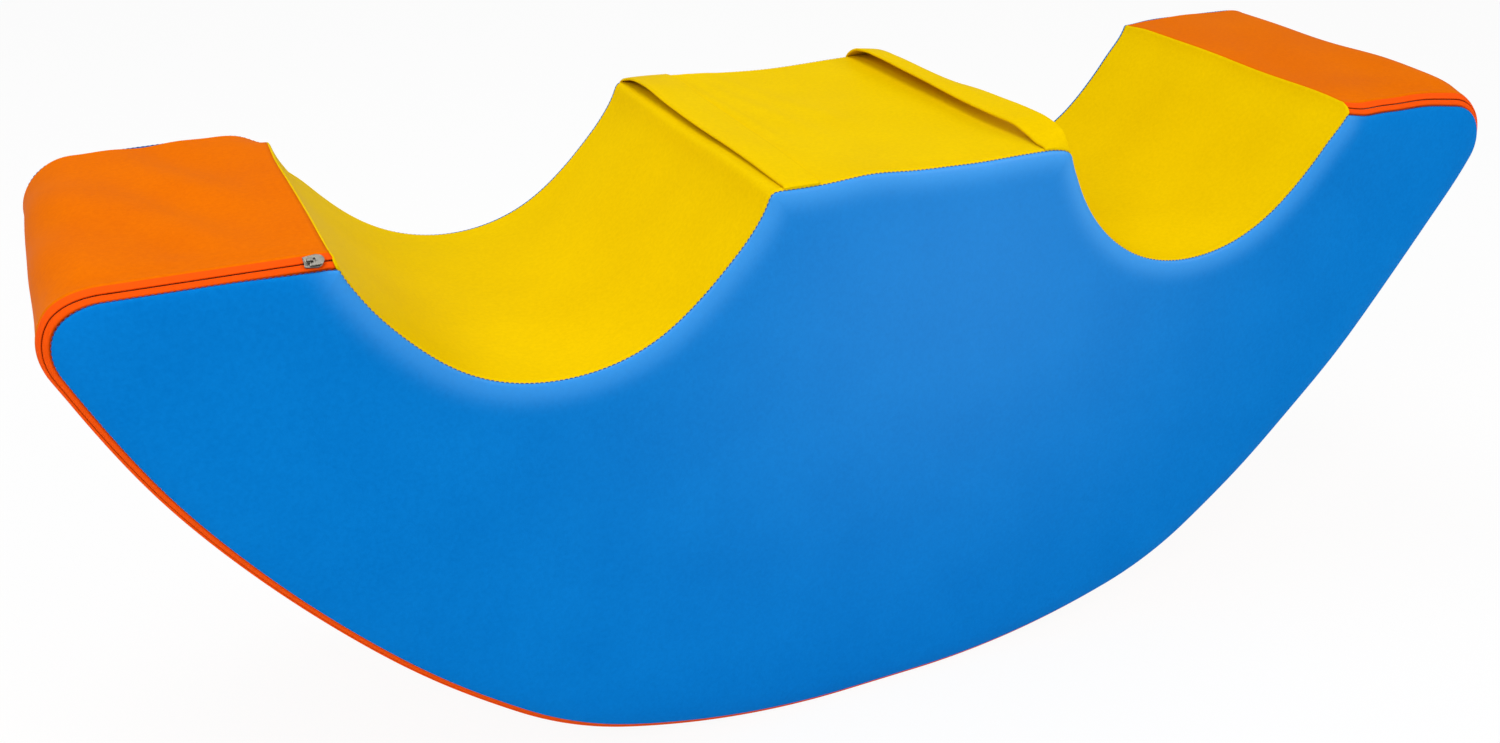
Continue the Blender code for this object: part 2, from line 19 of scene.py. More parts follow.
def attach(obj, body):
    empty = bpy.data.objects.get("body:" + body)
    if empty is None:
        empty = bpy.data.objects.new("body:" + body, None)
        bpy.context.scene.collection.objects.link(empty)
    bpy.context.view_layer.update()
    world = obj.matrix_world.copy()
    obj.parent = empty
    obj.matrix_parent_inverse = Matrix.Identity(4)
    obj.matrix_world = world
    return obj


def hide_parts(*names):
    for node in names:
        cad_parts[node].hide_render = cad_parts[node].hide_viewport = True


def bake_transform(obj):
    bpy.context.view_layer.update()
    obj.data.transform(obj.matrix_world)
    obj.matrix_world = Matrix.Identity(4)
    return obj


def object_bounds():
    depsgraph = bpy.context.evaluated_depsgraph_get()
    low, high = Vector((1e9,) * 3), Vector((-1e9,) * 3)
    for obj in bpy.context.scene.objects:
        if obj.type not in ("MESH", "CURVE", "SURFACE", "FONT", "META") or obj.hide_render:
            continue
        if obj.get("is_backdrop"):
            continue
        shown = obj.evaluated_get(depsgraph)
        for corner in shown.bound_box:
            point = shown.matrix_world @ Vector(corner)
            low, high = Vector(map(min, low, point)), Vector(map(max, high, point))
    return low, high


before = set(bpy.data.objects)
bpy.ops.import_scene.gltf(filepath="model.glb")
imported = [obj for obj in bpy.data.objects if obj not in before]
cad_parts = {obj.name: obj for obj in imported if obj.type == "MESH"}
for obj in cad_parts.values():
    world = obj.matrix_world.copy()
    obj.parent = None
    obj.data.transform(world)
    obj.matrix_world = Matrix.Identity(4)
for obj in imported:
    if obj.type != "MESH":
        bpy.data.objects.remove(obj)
cad_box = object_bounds()
print("solid box, metres:", [tuple(round(v, 4) for v in corner) for corner in cad_box])

# %% [markdown]
# ## Camera
#
# The rocker is seen from in front of its left end, from about twice its own height. The place
# and the lens come from the block's parallel edges: lines that are parallel on the object run
# to one point in a picture, and three such points fix where the camera stood.

# %% Set up the camera
CAMERA_PLACE = Vector((-0.5668, -1.0295, 0.8356))
CAMERA_FORWARD = Vector((0.3926, 0.8007, -0.4525))
CAMERA_RIGHT = Vector((0.9013, -0.4328, 0.0161))
CAMERA_LENS = 35.09

forward = CAMERA_FORWARD.normalized()
right = (CAMERA_RIGHT - CAMERA_RIGHT.dot(forward) * forward).normalized()
up = right.cross(forward)
turned = Matrix((right, up, -forward)).transposed().to_4x4()
camera_data = bpy.data.cameras.new("camera")
camera_data.lens = CAMERA_LENS
camera = bpy.data.objects.new("camera", camera_data)
camera.matrix_world = Matrix.Translation(CAMERA_PLACE) @ turned
bpy.context.scene.collection.objects.link(camera)
bpy.context.scene.camera = camera
print("camera", camera_data.lens, "mm at", tuple(round(v, 3) for v in CAMERA_PLACE))

# %% [markdown]
# ## The profile
#
# A cover like this is sewn from flat panels, so its shape is one outline carried across the
# width. The outline is made of arcs that meet without a corner: a belly, a tighter bilge, a
# long flank, a rounded end, then two seat hollows. The end tops turn down into the hollows in a
# tight fold, and the block between them has softer corners. Every panel is made from the same
# few functions with another inset, so that neighbours always meet.

# %% Sizes of the rocker, in metres
LENGTH, HEIGHT, WIDTH = 1.212, 0.480, 0.312
REST_LENGTH = 0.072
BELLY_RADIUS, BELLY_TURN = 0.680, math.radians(17.5)
BILGE_RADIUS, BILGE_TURN = 0.300, math.radians(20.0)
END_CORNER_RADIUS = 0.042
SEAT_SPACING, SEAT_RADIUS, SEAT_DEPTH = 0.562, 0.151, 0.1165
BLOCK_CORNER_RADIUS = 0.012
FOLD_RADIUS = 0.003
LEAST_CORNER_RADIUS = 0.0015
SIDE_CROWN = 0.004
ROLL_RADIUS = 0.011
HEM_ANGLE = math.radians(5.0)
ZIP_ANGLE = math.radians(39.0)
SEAM_ANGLE = math.radians(70.0)

HALF_WIDTH = WIDTH / 2
SEWN_Y = HALF_WIDTH - SIDE_CROWN
SEAT_CENTRE = np.array([SEAT_SPACING / 2, HEIGHT - SEAT_DEPTH + SEAT_RADIUS])
ROLL_CENTRE = (ROLL_RADIUS, SIDE_CROWN + ROLL_RADIUS * math.sin(SEAM_ANGLE))
ZIP_DROP = ROLL_RADIUS * (1 - math.cos(SEAM_ANGLE))
WALL_DROP = ZIP_DROP + 0.0028

# Flats to each stretch of the outline, about 4 mm each and finer at the small corners
REST_STEPS, BELLY_STEPS, BILGE_STEPS, FLANK_STEPS = 9, 52, 26, 106
END_STEPS, TOP_STEPS, LIP_STEPS, WALL_STEPS, SEAT_STEPS = 30, 40, 14, 9, 94
INNER_STEPS, MIDDLE_STEPS = 12, 42
print("zip drop", round(ZIP_DROP * 1000, 1), "mm")


# %% Arcs and the two halves of the outline
def towards(centre, distance, angle):
    """The point that far from centre, the angle measured from straight down towards +X."""
    return np.array([centre[0] + distance * math.sin(angle), centre[1] - distance * math.cos(angle)])


def angle_to(centre, point):
    return math.atan2(point[0] - centre[0], centre[1] - point[1])


def arc(centre, radius, start, end, steps):
    turn = np.linspace(start, end, steps + 1)
    return np.column_stack([centre[0] + radius * np.sin(turn), centre[1] - radius * np.cos(turn)])


def straight(first, last, steps):
    share = np.linspace(0.0, 1.0, steps + 1)[:, None]
    return np.asarray(first) * (1 - share) + np.asarray(last) * share


def flank_arc():
    """Centre, radius and first angle of the arc that leaves the bilge and meets the end."""
    belly = (REST_LENGTH / 2, BELLY_RADIUS)
    bilge = towards(belly, BELLY_RADIUS - BILGE_RADIUS, BELLY_TURN)
    start = BELLY_TURN + BILGE_TURN
    first = towards(bilge, BILGE_RADIUS, start)
    corner = np.array([LENGTH / 2 - END_CORNER_RADIUS, HEIGHT - END_CORNER_RADIUS])
    inward = np.array([-math.sin(start), math.cos(start)])
    reach = first - corner
    radius = (END_CORNER_RADIUS**2 - reach @ reach) / (2 * (reach @ inward + END_CORNER_RADIUS))
    return first + radius * inward, radius, start


def corner_centre(circle, distance, height, side):
    across = math.sqrt(distance**2 - (height - circle[1]) ** 2)
    return np.array([circle[0] + side * across, height])


def belly_half(inset, end_x):
    """From under the middle round the right end and along its top to end_x, as (x, z)."""
    belly = (REST_LENGTH / 2, BELLY_RADIUS)
    bilge = towards(belly, BELLY_RADIUS - BILGE_RADIUS, BELLY_TURN)
    flank, flank_radius, flank_start = flank_arc()
    radius = max(END_CORNER_RADIUS - inset, LEAST_CORNER_RADIUS)
    corner = corner_centre(flank, flank_radius - inset - radius, HEIGHT - inset - radius, 1)
    flank_end = angle_to(flank, corner)
    stretches = [
        straight((0.0, inset), (REST_LENGTH / 2, inset), REST_STEPS),
        arc(belly, BELLY_RADIUS - inset, 0.0, BELLY_TURN, BELLY_STEPS)[1:],
        arc(bilge, BILGE_RADIUS - inset, BELLY_TURN, flank_start, BILGE_STEPS)[1:],
        arc(flank, flank_radius - inset, flank_start, flank_end, FLANK_STEPS)[1:],
        arc(corner, radius, flank_end, math.pi, END_STEPS)[1:],
    ]
    last = stretches[-1][-1]
    stretches.append(straight(last, (end_x, HEIGHT - inset), TOP_STEPS)[1:])
    return np.vstack(stretches)


def seat_half(top_inset, inset, corner_radius):
    """From the right end's top through the right hollow to the middle of the block's top."""
    distance = SEAT_RADIUS + inset
    outer = corner_centre(
        SEAT_CENTRE, distance + corner_radius, HEIGHT - top_inset - corner_radius, 1
    )
    radius = max(BLOCK_CORNER_RADIUS - inset, LEAST_CORNER_RADIUS)
    inner = corner_centre(SEAT_CENTRE, distance + radius, HEIGHT - inset - radius, -1)
    outer_touch = angle_to(SEAT_CENTRE, outer)
    inner_touch = angle_to(SEAT_CENTRE, inner)
    wall_depth = SEAT_CENTRE[1] - HEIGHT + max(WALL_DROP, top_inset + 2 * corner_radius)
    wall_end = math.acos(wall_depth / distance)
    stretches = [
        arc(outer, corner_radius, math.pi, math.pi + outer_touch, LIP_STEPS),
        arc(SEAT_CENTRE, distance, outer_touch, wall_end, WALL_STEPS)[1:],
        arc(SEAT_CENTRE, distance, wall_end, inner_touch, SEAT_STEPS)[1:],
        arc(inner, radius, math.pi + inner_touch, math.pi, INNER_STEPS)[1:],
    ]
    last = stretches[-1][-1]
    stretches.append(straight(last, (0.0, HEIGHT - inset), MIDDLE_STEPS)[1:])
    return np.vstack(stretches)


def mirrored(half):
    """The left half of a line given for the right half, in the order that carries on from it."""
    return half[::-1] * np.array([-1.0, 1.0])


def fold_radius(inset):
    return max(FOLD_RADIUS - inset, LEAST_CORNER_RADIUS)


SEAM_X = seat_half(0.0, 0.0, FOLD_RADIUS)[0][0]


def whole_ring(band_inset, seat_inset, corner_radius):
    """The closed outline, with one inset along the orange stretch and one along the yellow."""
    above = seat_half(band_inset, seat_inset, corner_radius)
    half = np.vstack([belly_half(band_inset, above[0][0]), above[1:]])
    return np.vstack([half, mirrored(half)[1:-1]])


def band_line(inset, end_x):
    half = belly_half(inset, end_x)
    return np.vstack([mirrored(half)[:-1], half])


def seat_line(inset):
    half = seat_half(inset, inset, fold_radius(inset))
    return np.vstack([half, mirrored(half)[1:]])


print("points round the outline:", len(whole_ring(0.0, 0.0, FOLD_RADIUS)), "seam at x", round(SEAM_X, 4))

# %% [markdown]
# ## Softness
#
# Foam and cloth are never as true as their pattern. The long hollows are bridged a little by
# the stretched cloth, the end tops lean, corners are pinched where seams meet, and the middle
# block sags between its straps. Each of these is a smooth shift of a few millimetres, and every
# cover piece reads the same shifts at its own place, so seams stay closed. No cloth is
# simulated here: the cover is stretched tight over firm foam, and the shifts are set one by
# one from how the edges run in the photo.

# %% Where the cover is out of true, in metres
HOLLOW_BRIDGE_OUTER, HOLLOW_BRIDGE_INNER = 0.0050, 0.0025
BLOCK_SHIFT = 0.0050
LEFT_BACK_DROP = 0.0085
LEFT_BACK_PINCH = 0.0120
LEFT_CORNER_LIFT = 0.0030
LEFT_BACK_REACH = 0.0040
RIGHT_BACK_LIFT = 0.0045
RIGHT_TOP_LIFT = 0.0020
RIGHT_CORNER_DROP = 0.0085
RIGHT_FRONT_SLACK = 0.0050
RIGHT_END_REACH = 0.0040
RIGHT_FOLD_FRONT, RIGHT_FOLD_BACK = 0.0054, 0.0050
SEAM_PINCH, FRONT_SEAM_PINCH = 0.0030, 0.0021
FRONT_EDGE_WAVES = ((-0.045, 0.030, 0.0030), (0.131, 0.010, -0.0022), (0.050, 0.030, -0.0010))
LEFT_BLOCK_CORNER_PUSH, LEFT_BLOCK_LEAN = 0.0012, 0.0062
BLOCK_SAG = 0.0024
SEAM_UNDER_SLIDE = 0.0013
UNEVENNESS = 0.0006


def hump(value, centre, width):
    """A smooth hill of height 1."""
    return np.exp(-(((value - centre) / width) ** 2))


def smooth_step(value, low, high):
    share = np.clip((value - low) / (high - low), 0.0, 1.0)
    return share * share * (3 - 2 * share)


def swell(points, wavelength, seed, count=9):
    """Smooth waves in all directions, mostly within one unit, the same on each run."""
    chance = np.random.default_rng(seed)
    total = np.zeros(len(points))
    for _ in range(count):
        direction = chance.normal(size=3)
        direction /= np.linalg.norm(direction)
        rate = 2 * math.pi / (wavelength * chance.uniform(0.7, 1.5))
        total += np.sin(points @ direction * rate + chance.uniform(0, 2 * math.pi))
    return total / math.sqrt(count)


BLOCK_CORNER = corner_centre(
    SEAT_CENTRE, SEAT_RADIUS + BLOCK_CORNER_RADIUS, HEIGHT - BLOCK_CORNER_RADIUS, -1
)


def bridged(points):
    """Lifts the cloth towards the middle of each hollow, halfway up its two sides."""
    x, _, z = points.T
    across, above = np.abs(x) - SEAT_CENTRE[0], z - SEAT_CENTRE[1]
    distance = np.hypot(across, above)
    turn = np.degrees(np.arctan2(across, -above))
    near = hump(distance, SEAT_RADIUS, 0.030) * smooth_step(HEIGHT - z, 0.0, 0.030)
    lift = HOLLOW_BRIDGE_OUTER * hump(turn, 48.0, 22.0) + HOLLOW_BRIDGE_INNER * hump(turn, -48.0, 20.0)
    lift = lift * near / distance
    return np.column_stack([-lift * across * np.sign(x), np.zeros(len(x)), -lift * above])


def leaned(points):
    """How the two end tops lean, and where their corners are pulled."""
    x, y, z = points.T
    back = np.clip(y / WIDTH + 0.5, 0.0, 1.0)
    high = smooth_step(z, 0.30, 0.45)
    left_out = np.clip((-x - SEAM_X) / 0.15, 0.0, 1.1)
    rise = LEFT_CORNER_LIFT * left_out**5 * (1 - back)
    rise -= LEFT_BACK_DROP * smooth_step(-x, 0.40, 0.47) * back
    rise += RIGHT_BACK_LIFT * smooth_step(x, 0.36, 0.44) * back
    rise -= LEFT_BACK_PINCH * hump(-x, 0.4265, 0.015) * hump(y, SEWN_Y, 0.030)
    rise += RIGHT_TOP_LIFT * smooth_step(x, 0.52, 0.58) * hump(back, 0.30, 0.15)
    slack = RIGHT_FRONT_SLACK * smooth_step(x, 0.40, 0.50)
    slack += RIGHT_CORNER_DROP * smooth_step(x, 0.515, 0.60)
    rise -= slack * hump(back, 0.0, 0.085)
    for side in (-1, 1):
        rise -= SEAM_PINCH * hump(side * x, SEAM_X, 0.022) * hump(y, SEWN_Y, 0.020)
    rise -= FRONT_SEAM_PINCH * hump(x, SEAM_X + 0.018, 0.016) * hump(y, -SEWN_Y, 0.020)
    out = RIGHT_END_REACH * smooth_step(x, 0.54, 0.59) * smooth_step(z, 0.30, 0.42)
    fold = RIGHT_FOLD_FRONT * (1 - back) + RIGHT_FOLD_BACK * back
    fold_length = smooth_step(x, 0.36, 0.42) * smooth_step(0.53 - x, 0.0, 0.08)
    out += fold * smooth_step(z, 0.44, 0.478) * fold_length
    out += LEFT_BACK_REACH * hump(-x, 0.43, 0.03) * hump(y, SEWN_Y, 0.06) * smooth_step(z, 0.40, 0.475)
    return np.column_stack([out, np.zeros(len(x)), rise * high])


def sagged(points):
    """The middle block: waves along its front edge, a sag, and a sharper left corner."""
    x, y, z = points.T
    middle = smooth_step(0.150 - np.abs(x), 0.0, 0.03) * smooth_step(z, 0.42, 0.48)
    front = hump(y, -HALF_WIDTH, 0.05)
    rise = sum(height * hump(x, place, width) for place, width, height in FRONT_EDGE_WAVES) * front
    rise = rise - BLOCK_SAG * hump(x, 0.010, 0.060) * (1 - front)
    shift = BLOCK_SHIFT * smooth_step(z, 0.36, 0.46) * smooth_step(0.20 - np.abs(x), 0.0, 0.06)
    left_wall = smooth_step(-x, 0.090, 0.125) * smooth_step(0.21 + x, 0.0, 0.04)
    shift = shift + LEFT_BLOCK_LEAN * smooth_step(z, 0.42, 0.482) * left_wall
    across, above = x + BLOCK_CORNER[0], z - BLOCK_CORNER[1]
    distance = np.maximum(np.hypot(across, above), 1e-6)
    turn = np.degrees(np.arctan2(-across, above))
    push = LEFT_BLOCK_CORNER_PUSH * hump(turn, 38.0, 20.0) * hump(distance, BLOCK_CORNER_RADIUS, 0.008)
    return np.column_stack(
        [shift + push * across / distance, np.zeros(len(x)), middle * rise + push * above / distance]
    )


def settled(points):
    """Points moved by all of the cover's shifts. None goes below the floor, and the zip is left
    straight as far as its slider runs."""
    x, y, z = points.T
    on_slide = smooth_step(-x, 0.424, 0.436) * smooth_step(z, 0.44, 0.465) * smooth_step(-y, 0.10, 0.135)
    on_slide *= smooth_step(0.600 + x, 0.0, 0.039)
    along, sideways, upwards = swell(points, 0.16, 1), swell(points, 0.13, 2), swell(points, 0.15, 3)
    uneven = np.column_stack([along, sideways * np.sign(y), upwards])
    uneven = uneven * (UNEVENNESS * smooth_step(z, 0.02, 0.10))[:, None]
    shift = (bridged(points) + leaned(points) + sagged(points) + uneven) * (1 - on_slide)[:, None]
    below_zip = smooth_step(-x, 0.44, 0.50) * smooth_step(-y, SEWN_Y - 0.0012, SEWN_Y)
    shift[:, 2] += SEAM_UNDER_SLIDE * on_slide * below_zip
    moved = points + shift
    moved[:, 2] = np.maximum(moved[:, 2], 0.0)
    return moved


sample = np.array([[-0.39, -0.15, 0.41], [0.59, -0.15, 0.47], [-0.04, -0.15, 0.48]])
print("shifts at three places, mm:", (np.linalg.norm(settled(sample) - sample, axis=1) * 1000).round(1))


# %% Helpers that make meshes
MERGE_DISTANCE = 1e-6


def add_object(name, mesh):
    made = bpy.data.objects.new(name, mesh)
    bpy.context.scene.collection.objects.link(made)
    return made


def at_width(line, y):
    """An (x, z) line as points in space, at one y or with a y for each point."""
    return np.column_stack([line[:, 0], np.broadcast_to(y, len(line)), line[:, 1]])


def settled_grid(rows):
    grid = np.array(rows)
    return settled(grid.reshape(-1, 3)).reshape(grid.shape)


def grid_faces(grid, closed=False):
    """Quads over a grid of points, closed round the columns or not."""
    rows, columns = grid.shape[:2]
    last = columns if closed else columns - 1
    faces = []
    for i in range(rows - 1):
        for j in range(last):
            k = (j + 1) % columns
            faces.append((i * columns + j, i * columns + k, (i + 1) * columns + k, (i + 1) * columns + j))
    return faces


def add_piece(name, points, faces, outward, material):
    """A smooth piece whose faces look the way that outward(middle of the face) points."""
    mesh = bpy.data.meshes.new(name)
    mesh.from_pydata([tuple(p) for p in points.reshape(-1, 3)], [], faces)
    work = bmesh.new()
    work.from_mesh(mesh)
    bmesh.ops.remove_doubles(work, verts=work.verts, dist=MERGE_DISTANCE)
    bmesh.ops.recalc_face_normals(work, faces=work.faces)
    work.faces.ensure_lookup_table()
    biggest = max(work.faces, key=lambda face: face.calc_area())
    if biggest.normal.dot(outward(biggest.calc_center_median())) < 0:
        bmesh.ops.reverse_faces(work, faces=work.faces)
    work.to_mesh(mesh)
    work.free()
    mesh.shade_smooth()
    mesh.materials.append(material)
    return add_object(name, mesh)


def thicken(piece, thickness):
    """Gives an open cover the thickness of its cloth, inwards."""
    solidify = piece.modifiers.new("cloth thickness", "SOLIDIFY")
    solidify.thickness = thickness
    solidify.offset = -1


def surface_normals(grid, upwards):
    """The unit normal at each point of a grid, which in the grid's middle points up or down."""
    normal = np.cross(np.gradient(grid, axis=1), np.gradient(grid, axis=0))
    normal = normal / np.maximum(np.linalg.norm(normal, axis=2, keepdims=True), 1e-12)
    points_up = normal[grid.shape[0] // 2, grid.shape[1] // 2, 2] > 0
    return normal if points_up == upwards else -normal


def through(keys, at):
    """A smooth curve through (place, value) keys."""
    place, value = np.array(keys, float).T
    slope = np.gradient(value, place)
    index = np.clip(np.searchsorted(place, at) - 1, 0, len(place) - 2)
    span = place[index + 1] - place[index]
    t = np.clip((at - place[index]) / span, 0.0, 1.0)
    return (
        (2 * t**3 - 3 * t**2 + 1) * value[index]
        + (t**3 - 2 * t**2 + t) * span * slope[index]
        + (3 * t**2 - 2 * t**3) * value[index + 1]
        + (t**3 - t**2) * span * slope[index + 1]
    )


def hand_over(piece, body, node):
    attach(piece, body)
    if node:
        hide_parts(node)
    print(piece.name, "points:", len(piece.data.vertices))


COVER_THICKNESS = 0.0010
print("cover cloth", COVER_THICKNESS * 1000, "mm")

# %% [markdown]
# ## Vinyl
#
# The cover is cloth coated with vinyl. Close to, it has a fine pebbled grain. A step away the
# grain blends into a soft sheen that breaks up where the cloth behind it shows through. Both
# scales are in one shader group, which each colour of vinyl uses with its own values, because
# all three come from the same kind of roll.


# %% Helpers that build node trees
def feed(tree, node, values):
    """Gives a node its inputs: a socket is linked, anything else is set as the value."""
    for label, value in values.items():
        if isinstance(value, bpy.types.NodeSocket):
            tree.links.new(value, node.inputs[label])
        else:
            node.inputs[label].default_value = value
    return node


def add_node(tree, kind, values=None, **settings):
    node = tree.nodes.new(kind)
    for name, setting in settings.items():
        setattr(node, name, setting)
    return feed(tree, node, values or {})


def math_node(tree, operation, *values, clamp=False):
    """A maths node fed by sockets or plain numbers. Returns its output."""
    numbered = dict(enumerate(values))
    return add_node(tree, "ShaderNodeMath", numbered, operation=operation, use_clamp=clamp).outputs[0]


def noise_node(tree, vector, scale, detail=2.0, roughness=0.5):
    values = {"Vector": vector, "Scale": scale, "Detail": detail, "Roughness": roughness}
    return add_node(tree, "ShaderNodeTexNoise", values).outputs["Fac"]


def object_place(tree):
    return tree.nodes.new("ShaderNodeTexCoord").outputs["Object"]


def new_group(name, inputs, outputs):
    """A shader group with float sockets. Returns its tree and its input and output node."""
    tree = bpy.data.node_groups.new(name, "ShaderNodeTree")
    for label, default in inputs:
        socket = tree.interface.new_socket(name=label, in_out="INPUT", socket_type="NodeSocketFloat")
        socket.default_value = default
    for label in outputs:
        tree.interface.new_socket(name=label, in_out="OUTPUT", socket_type="NodeSocketFloat")
    return tree, tree.nodes.new("NodeGroupInput"), tree.nodes.new("NodeGroupOutput")


# %% A group for vinyl grain
def build_vinyl_group():
    """Pebbled grain, cloth mottle and slow waves. Height is in metres, Shade is about 0.5."""
    tree, given, out = new_group(
        "vinyl grain",
        [("Grain", 0.00005), ("Mottle", 0.0001), ("Waves", 0.0004)],
        ["Height", "Shade"],
    )
    place = object_place(tree)
    shape = {"Scale": 900.0, "Smoothness": 0.6, "Vector": place}
    pebble = add_node(tree, "ShaderNodeTexVoronoi", shape, feature="SMOOTH_F1")
    cloth = noise_node(tree, place, 320.0, 3.0, 0.6)
    slow = noise_node(tree, place, 14.0, 2.0, 0.45)
    grain = math_node(tree, "MULTIPLY", pebble.outputs["Distance"], given.outputs["Grain"])
    mottle = math_node(tree, "MULTIPLY", cloth, given.outputs["Mottle"])
    waves = math_node(tree, "MULTIPLY", slow, given.outputs["Waves"])
    height = math_node(tree, "ADD", math_node(tree, "SUBTRACT", mottle, grain), waves)
    shade = math_node(tree, "MULTIPLY_ADD", cloth, 1.6, -0.3, clamp=True)
    blend = math_node(tree, "MULTIPLY", slow, 0.5)
    total = math_node(tree, "ADD", math_node(tree, "MULTIPLY", shade, 0.5), blend)
    feed(tree, out, {"Height": height, "Shade": total})
    return tree


VINYL_GRAIN = build_vinyl_group()
print("group:", VINYL_GRAIN.name)


# %% Three colours of vinyl
def linear(colour):
    """Screen colour from 0 to 255, as the linear values that a shader takes."""
    share = [c / 255 for c in colour]
    return tuple(c / 12.92 if c <= 0.04045 else ((c + 0.055) / 1.055) ** 2.4 for c in share) + (1.0,)


def new_material(name):
    material = bpy.data.materials.new(name)
    material.use_nodes = True
    return material, material.node_tree, material.node_tree.nodes["Principled BSDF"]


def two_tone(tree, low, high, factor, shader):
    """Base colour between two screen colours. Returns the node that mixes them."""
    values = {"A": linear(low), "B": linear(high), "Factor": factor}
    mix = add_node(tree, "ShaderNodeMix", values, data_type="RGBA")
    feed(tree, shader, {"Base Color": mix.outputs["Result"]})
    return mix


def bump(tree, height, shader):
    node = add_node(tree, "ShaderNodeBump", {"Strength": 1.0, "Distance": 1.0, "Height": height})
    feed(tree, shader, {"Normal": node.outputs["Normal"]})


def cloudy_material(name, scale, low, high, roughness):
    """Two near tones that change in small clouds."""
    material, tree, shader = new_material(name)
    two_tone(tree, low, high, noise_node(tree, object_place(tree), scale), shader)
    feed(tree, shader, {"Roughness": roughness})
    return material


# How far the colour is painted paler as a highlight along the seat seams, and how much coat shine goes there
EDGE_SHINE, PAINTED_HIGHLIGHT_STRENGTH = 0.22, 0.42


def vinyl(name, low, high, painted_highlight_colour, roughness, grain, mottle, waves):
    """Vinyl that is painted paler as a highlight, and gets more coat shine, where the mesh's stretch
    attribute says so.
    """
    material, tree, shader = new_material(name)
    values = {"Grain": grain, "Mottle": mottle, "Waves": waves}
    group = add_node(tree, "ShaderNodeGroup", values, node_tree=VINYL_GRAIN)
    stretch = add_node(tree, "ShaderNodeAttribute", attribute_name="stretch").outputs["Fac"]
    colour = two_tone(tree, low, high, group.outputs["Shade"], shader)
    # Where the stretch attribute is high, a paler colour is mixed in: a painted highlight
    painted_highlight = math_node(tree, "MULTIPLY", stretch, PAINTED_HIGHLIGHT_STRENGTH)
    pale = two_tone(tree, low, painted_highlight_colour, painted_highlight, shader)
    feed(tree, pale, {"A": colour.outputs["Result"]})
    rough = math_node(tree, "MULTIPLY_ADD", group.outputs["Shade"], 0.16, roughness - 0.08)
    shine = math_node(tree, "MULTIPLY", stretch, EDGE_SHINE)
    feed(tree, shader, {"Roughness": rough, "Specular IOR Level": 0.005})
    feed(tree, shader, {"Coat Weight": shine, "Coat Roughness": 0.38})
    bump(tree, group.outputs["Height"], shader)
    return material


# The fourth colour of each vinyl is its painted highlight
BLUE_VINYL = vinyl("blue_vinyl", (0, 106, 186), (8, 126, 208), (76, 166, 242), 0.42, 5e-5, 9e-5, 5e-4)
YELLOW_VINYL = vinyl("yellow_vinyl", (214, 176, 0), (234, 198, 0), (240, 214, 60), 0.46, 4e-5, 8e-5, 4e-4)
ORANGE_VINYL = vinyl("orange_vinyl", (209, 93, 0), (230, 116, 0), (244, 150, 60), 0.46, 4e-5, 8e-5, 5e-4)
print("vinyls:", BLUE_VINYL.name, YELLOW_VINYL.name, ORANGE_VINYL.name)

# %% [markdown]
# ## Side panels
#
# Each blue side is one flat piece of vinyl, sewn all round into the corner. The foam pushes it
# out right behind the seam, so it rises over a few centimetres and then runs flat. Rings of
# points follow the outline with a growing inset, on a quarter of an ellipse, and dive into the
# seam at the start. Inside the last ring a Delaunay triangulation fills the flat face: a grid
# of points is simpler, but would not follow the hollows.


# %% Section across a seam
CROWN_WIDTH = 0.026
CROWN_RISE = 0.0058
SEAM_TUCK = 0.0010
SEAM_LIP = 0.00035


def tuck(distance):
    """How far cloth lies below its own surface, this far from its seam."""
    return SEAM_TUCK * hump(distance, 0.0, 0.0013) - SEAM_LIP * hump(distance, 0.0030, 0.0014)


def crown_rows():
    """(inset, recess) of each ring from the seam to the flat of a side."""
    fine = np.radians([0, 5, 10, 15, 21, 28, 36, 45, 54, 63, 72, 81, 90])
    inset = CROWN_WIDTH * (1 - np.cos(fine))
    recess = SIDE_CROWN - CROWN_RISE * np.sin(fine)
    gone = np.concatenate([[0.0], np.cumsum(np.hypot(np.diff(inset), np.diff(recess)))])
    return list(zip(inset + tuck(gone), recess))


def inside(points, loop):
    """Which points lie inside a closed line, by counting crossings."""
    found = np.zeros(len(points), bool)
    for (x1, z1), (x2, z2) in zip(loop, np.roll(loop, -1, axis=0)):
        crosses = (z1 > points[:, 1]) != (z2 > points[:, 1])
        with np.errstate(divide="ignore", invalid="ignore"):
            at = x1 + (points[:, 1] - z1) * (x2 - x1) / (z2 - z1)
        found ^= crosses & (points[:, 0] < at)
    return found


def fill_face(loop, spacing):
    """Triangles that fill a closed line evenly: points as (x, z), and faces."""
    low, high = loop.min(axis=0), loop.max(axis=0)
    xs = np.arange(low[0], high[0], spacing)
    zs = np.arange(low[1], high[1], spacing * 0.87)
    spots = np.array([(x + (i % 2) * spacing / 2, z) for i, z in enumerate(zs) for x in xs])
    spots = spots[inside(spots, loop)]
    gaps = np.array([np.min(np.hypot(*(loop - spot).T)) for spot in spots])
    spots = spots[gaps > spacing * 0.6]
    points = np.vstack([loop, spots])
    edges = [(i, (i + 1) % len(loop)) for i in range(len(loop))]
    result = delaunay_2d_cdt([Vector(p) for p in points], edges, [], 1, 1e-7)
    return np.array([tuple(v) for v in result[0]]), [tuple(face) for face in result[2]]


# Width of the painted highlight beside the seat seams
PAINTED_HIGHLIGHT_WIDTH = 0.0135
FACE_SPACING = 0.012


def mark_painted_highlight_and_shine(mesh, side):
    """Stores where the blue gets a painted highlight and more coat shine: beside the seats, and a painted
    lighter patch over the middle.
    """
    seam = settled(at_width(seat_line(0.0), side * HALF_WIDTH))
    places = np.array([v.co[:] for v in mesh.vertices])
    x, _, z = places.T
    gaps = np.array([np.min(np.hypot(seam[:, 0] - a, seam[:, 2] - b)) for a, b in zip(x, z)])
    # A painted highlight beside the seat seams, whose edges face the lights, and a painted lighter patch over
    # the middle of the side
    painted_highlight_and_shine = np.exp(-((gaps / PAINTED_HIGHLIGHT_WIDTH) ** 2.4)) + 0.5 * hump(x, 0.06, 0.24) * hump(z, 0.42, 0.22)
    layer = mesh.attributes.new("stretch", "FLOAT", "POINT")
    layer.data.foreach_set("value", painted_highlight_and_shine.astype(np.float32))


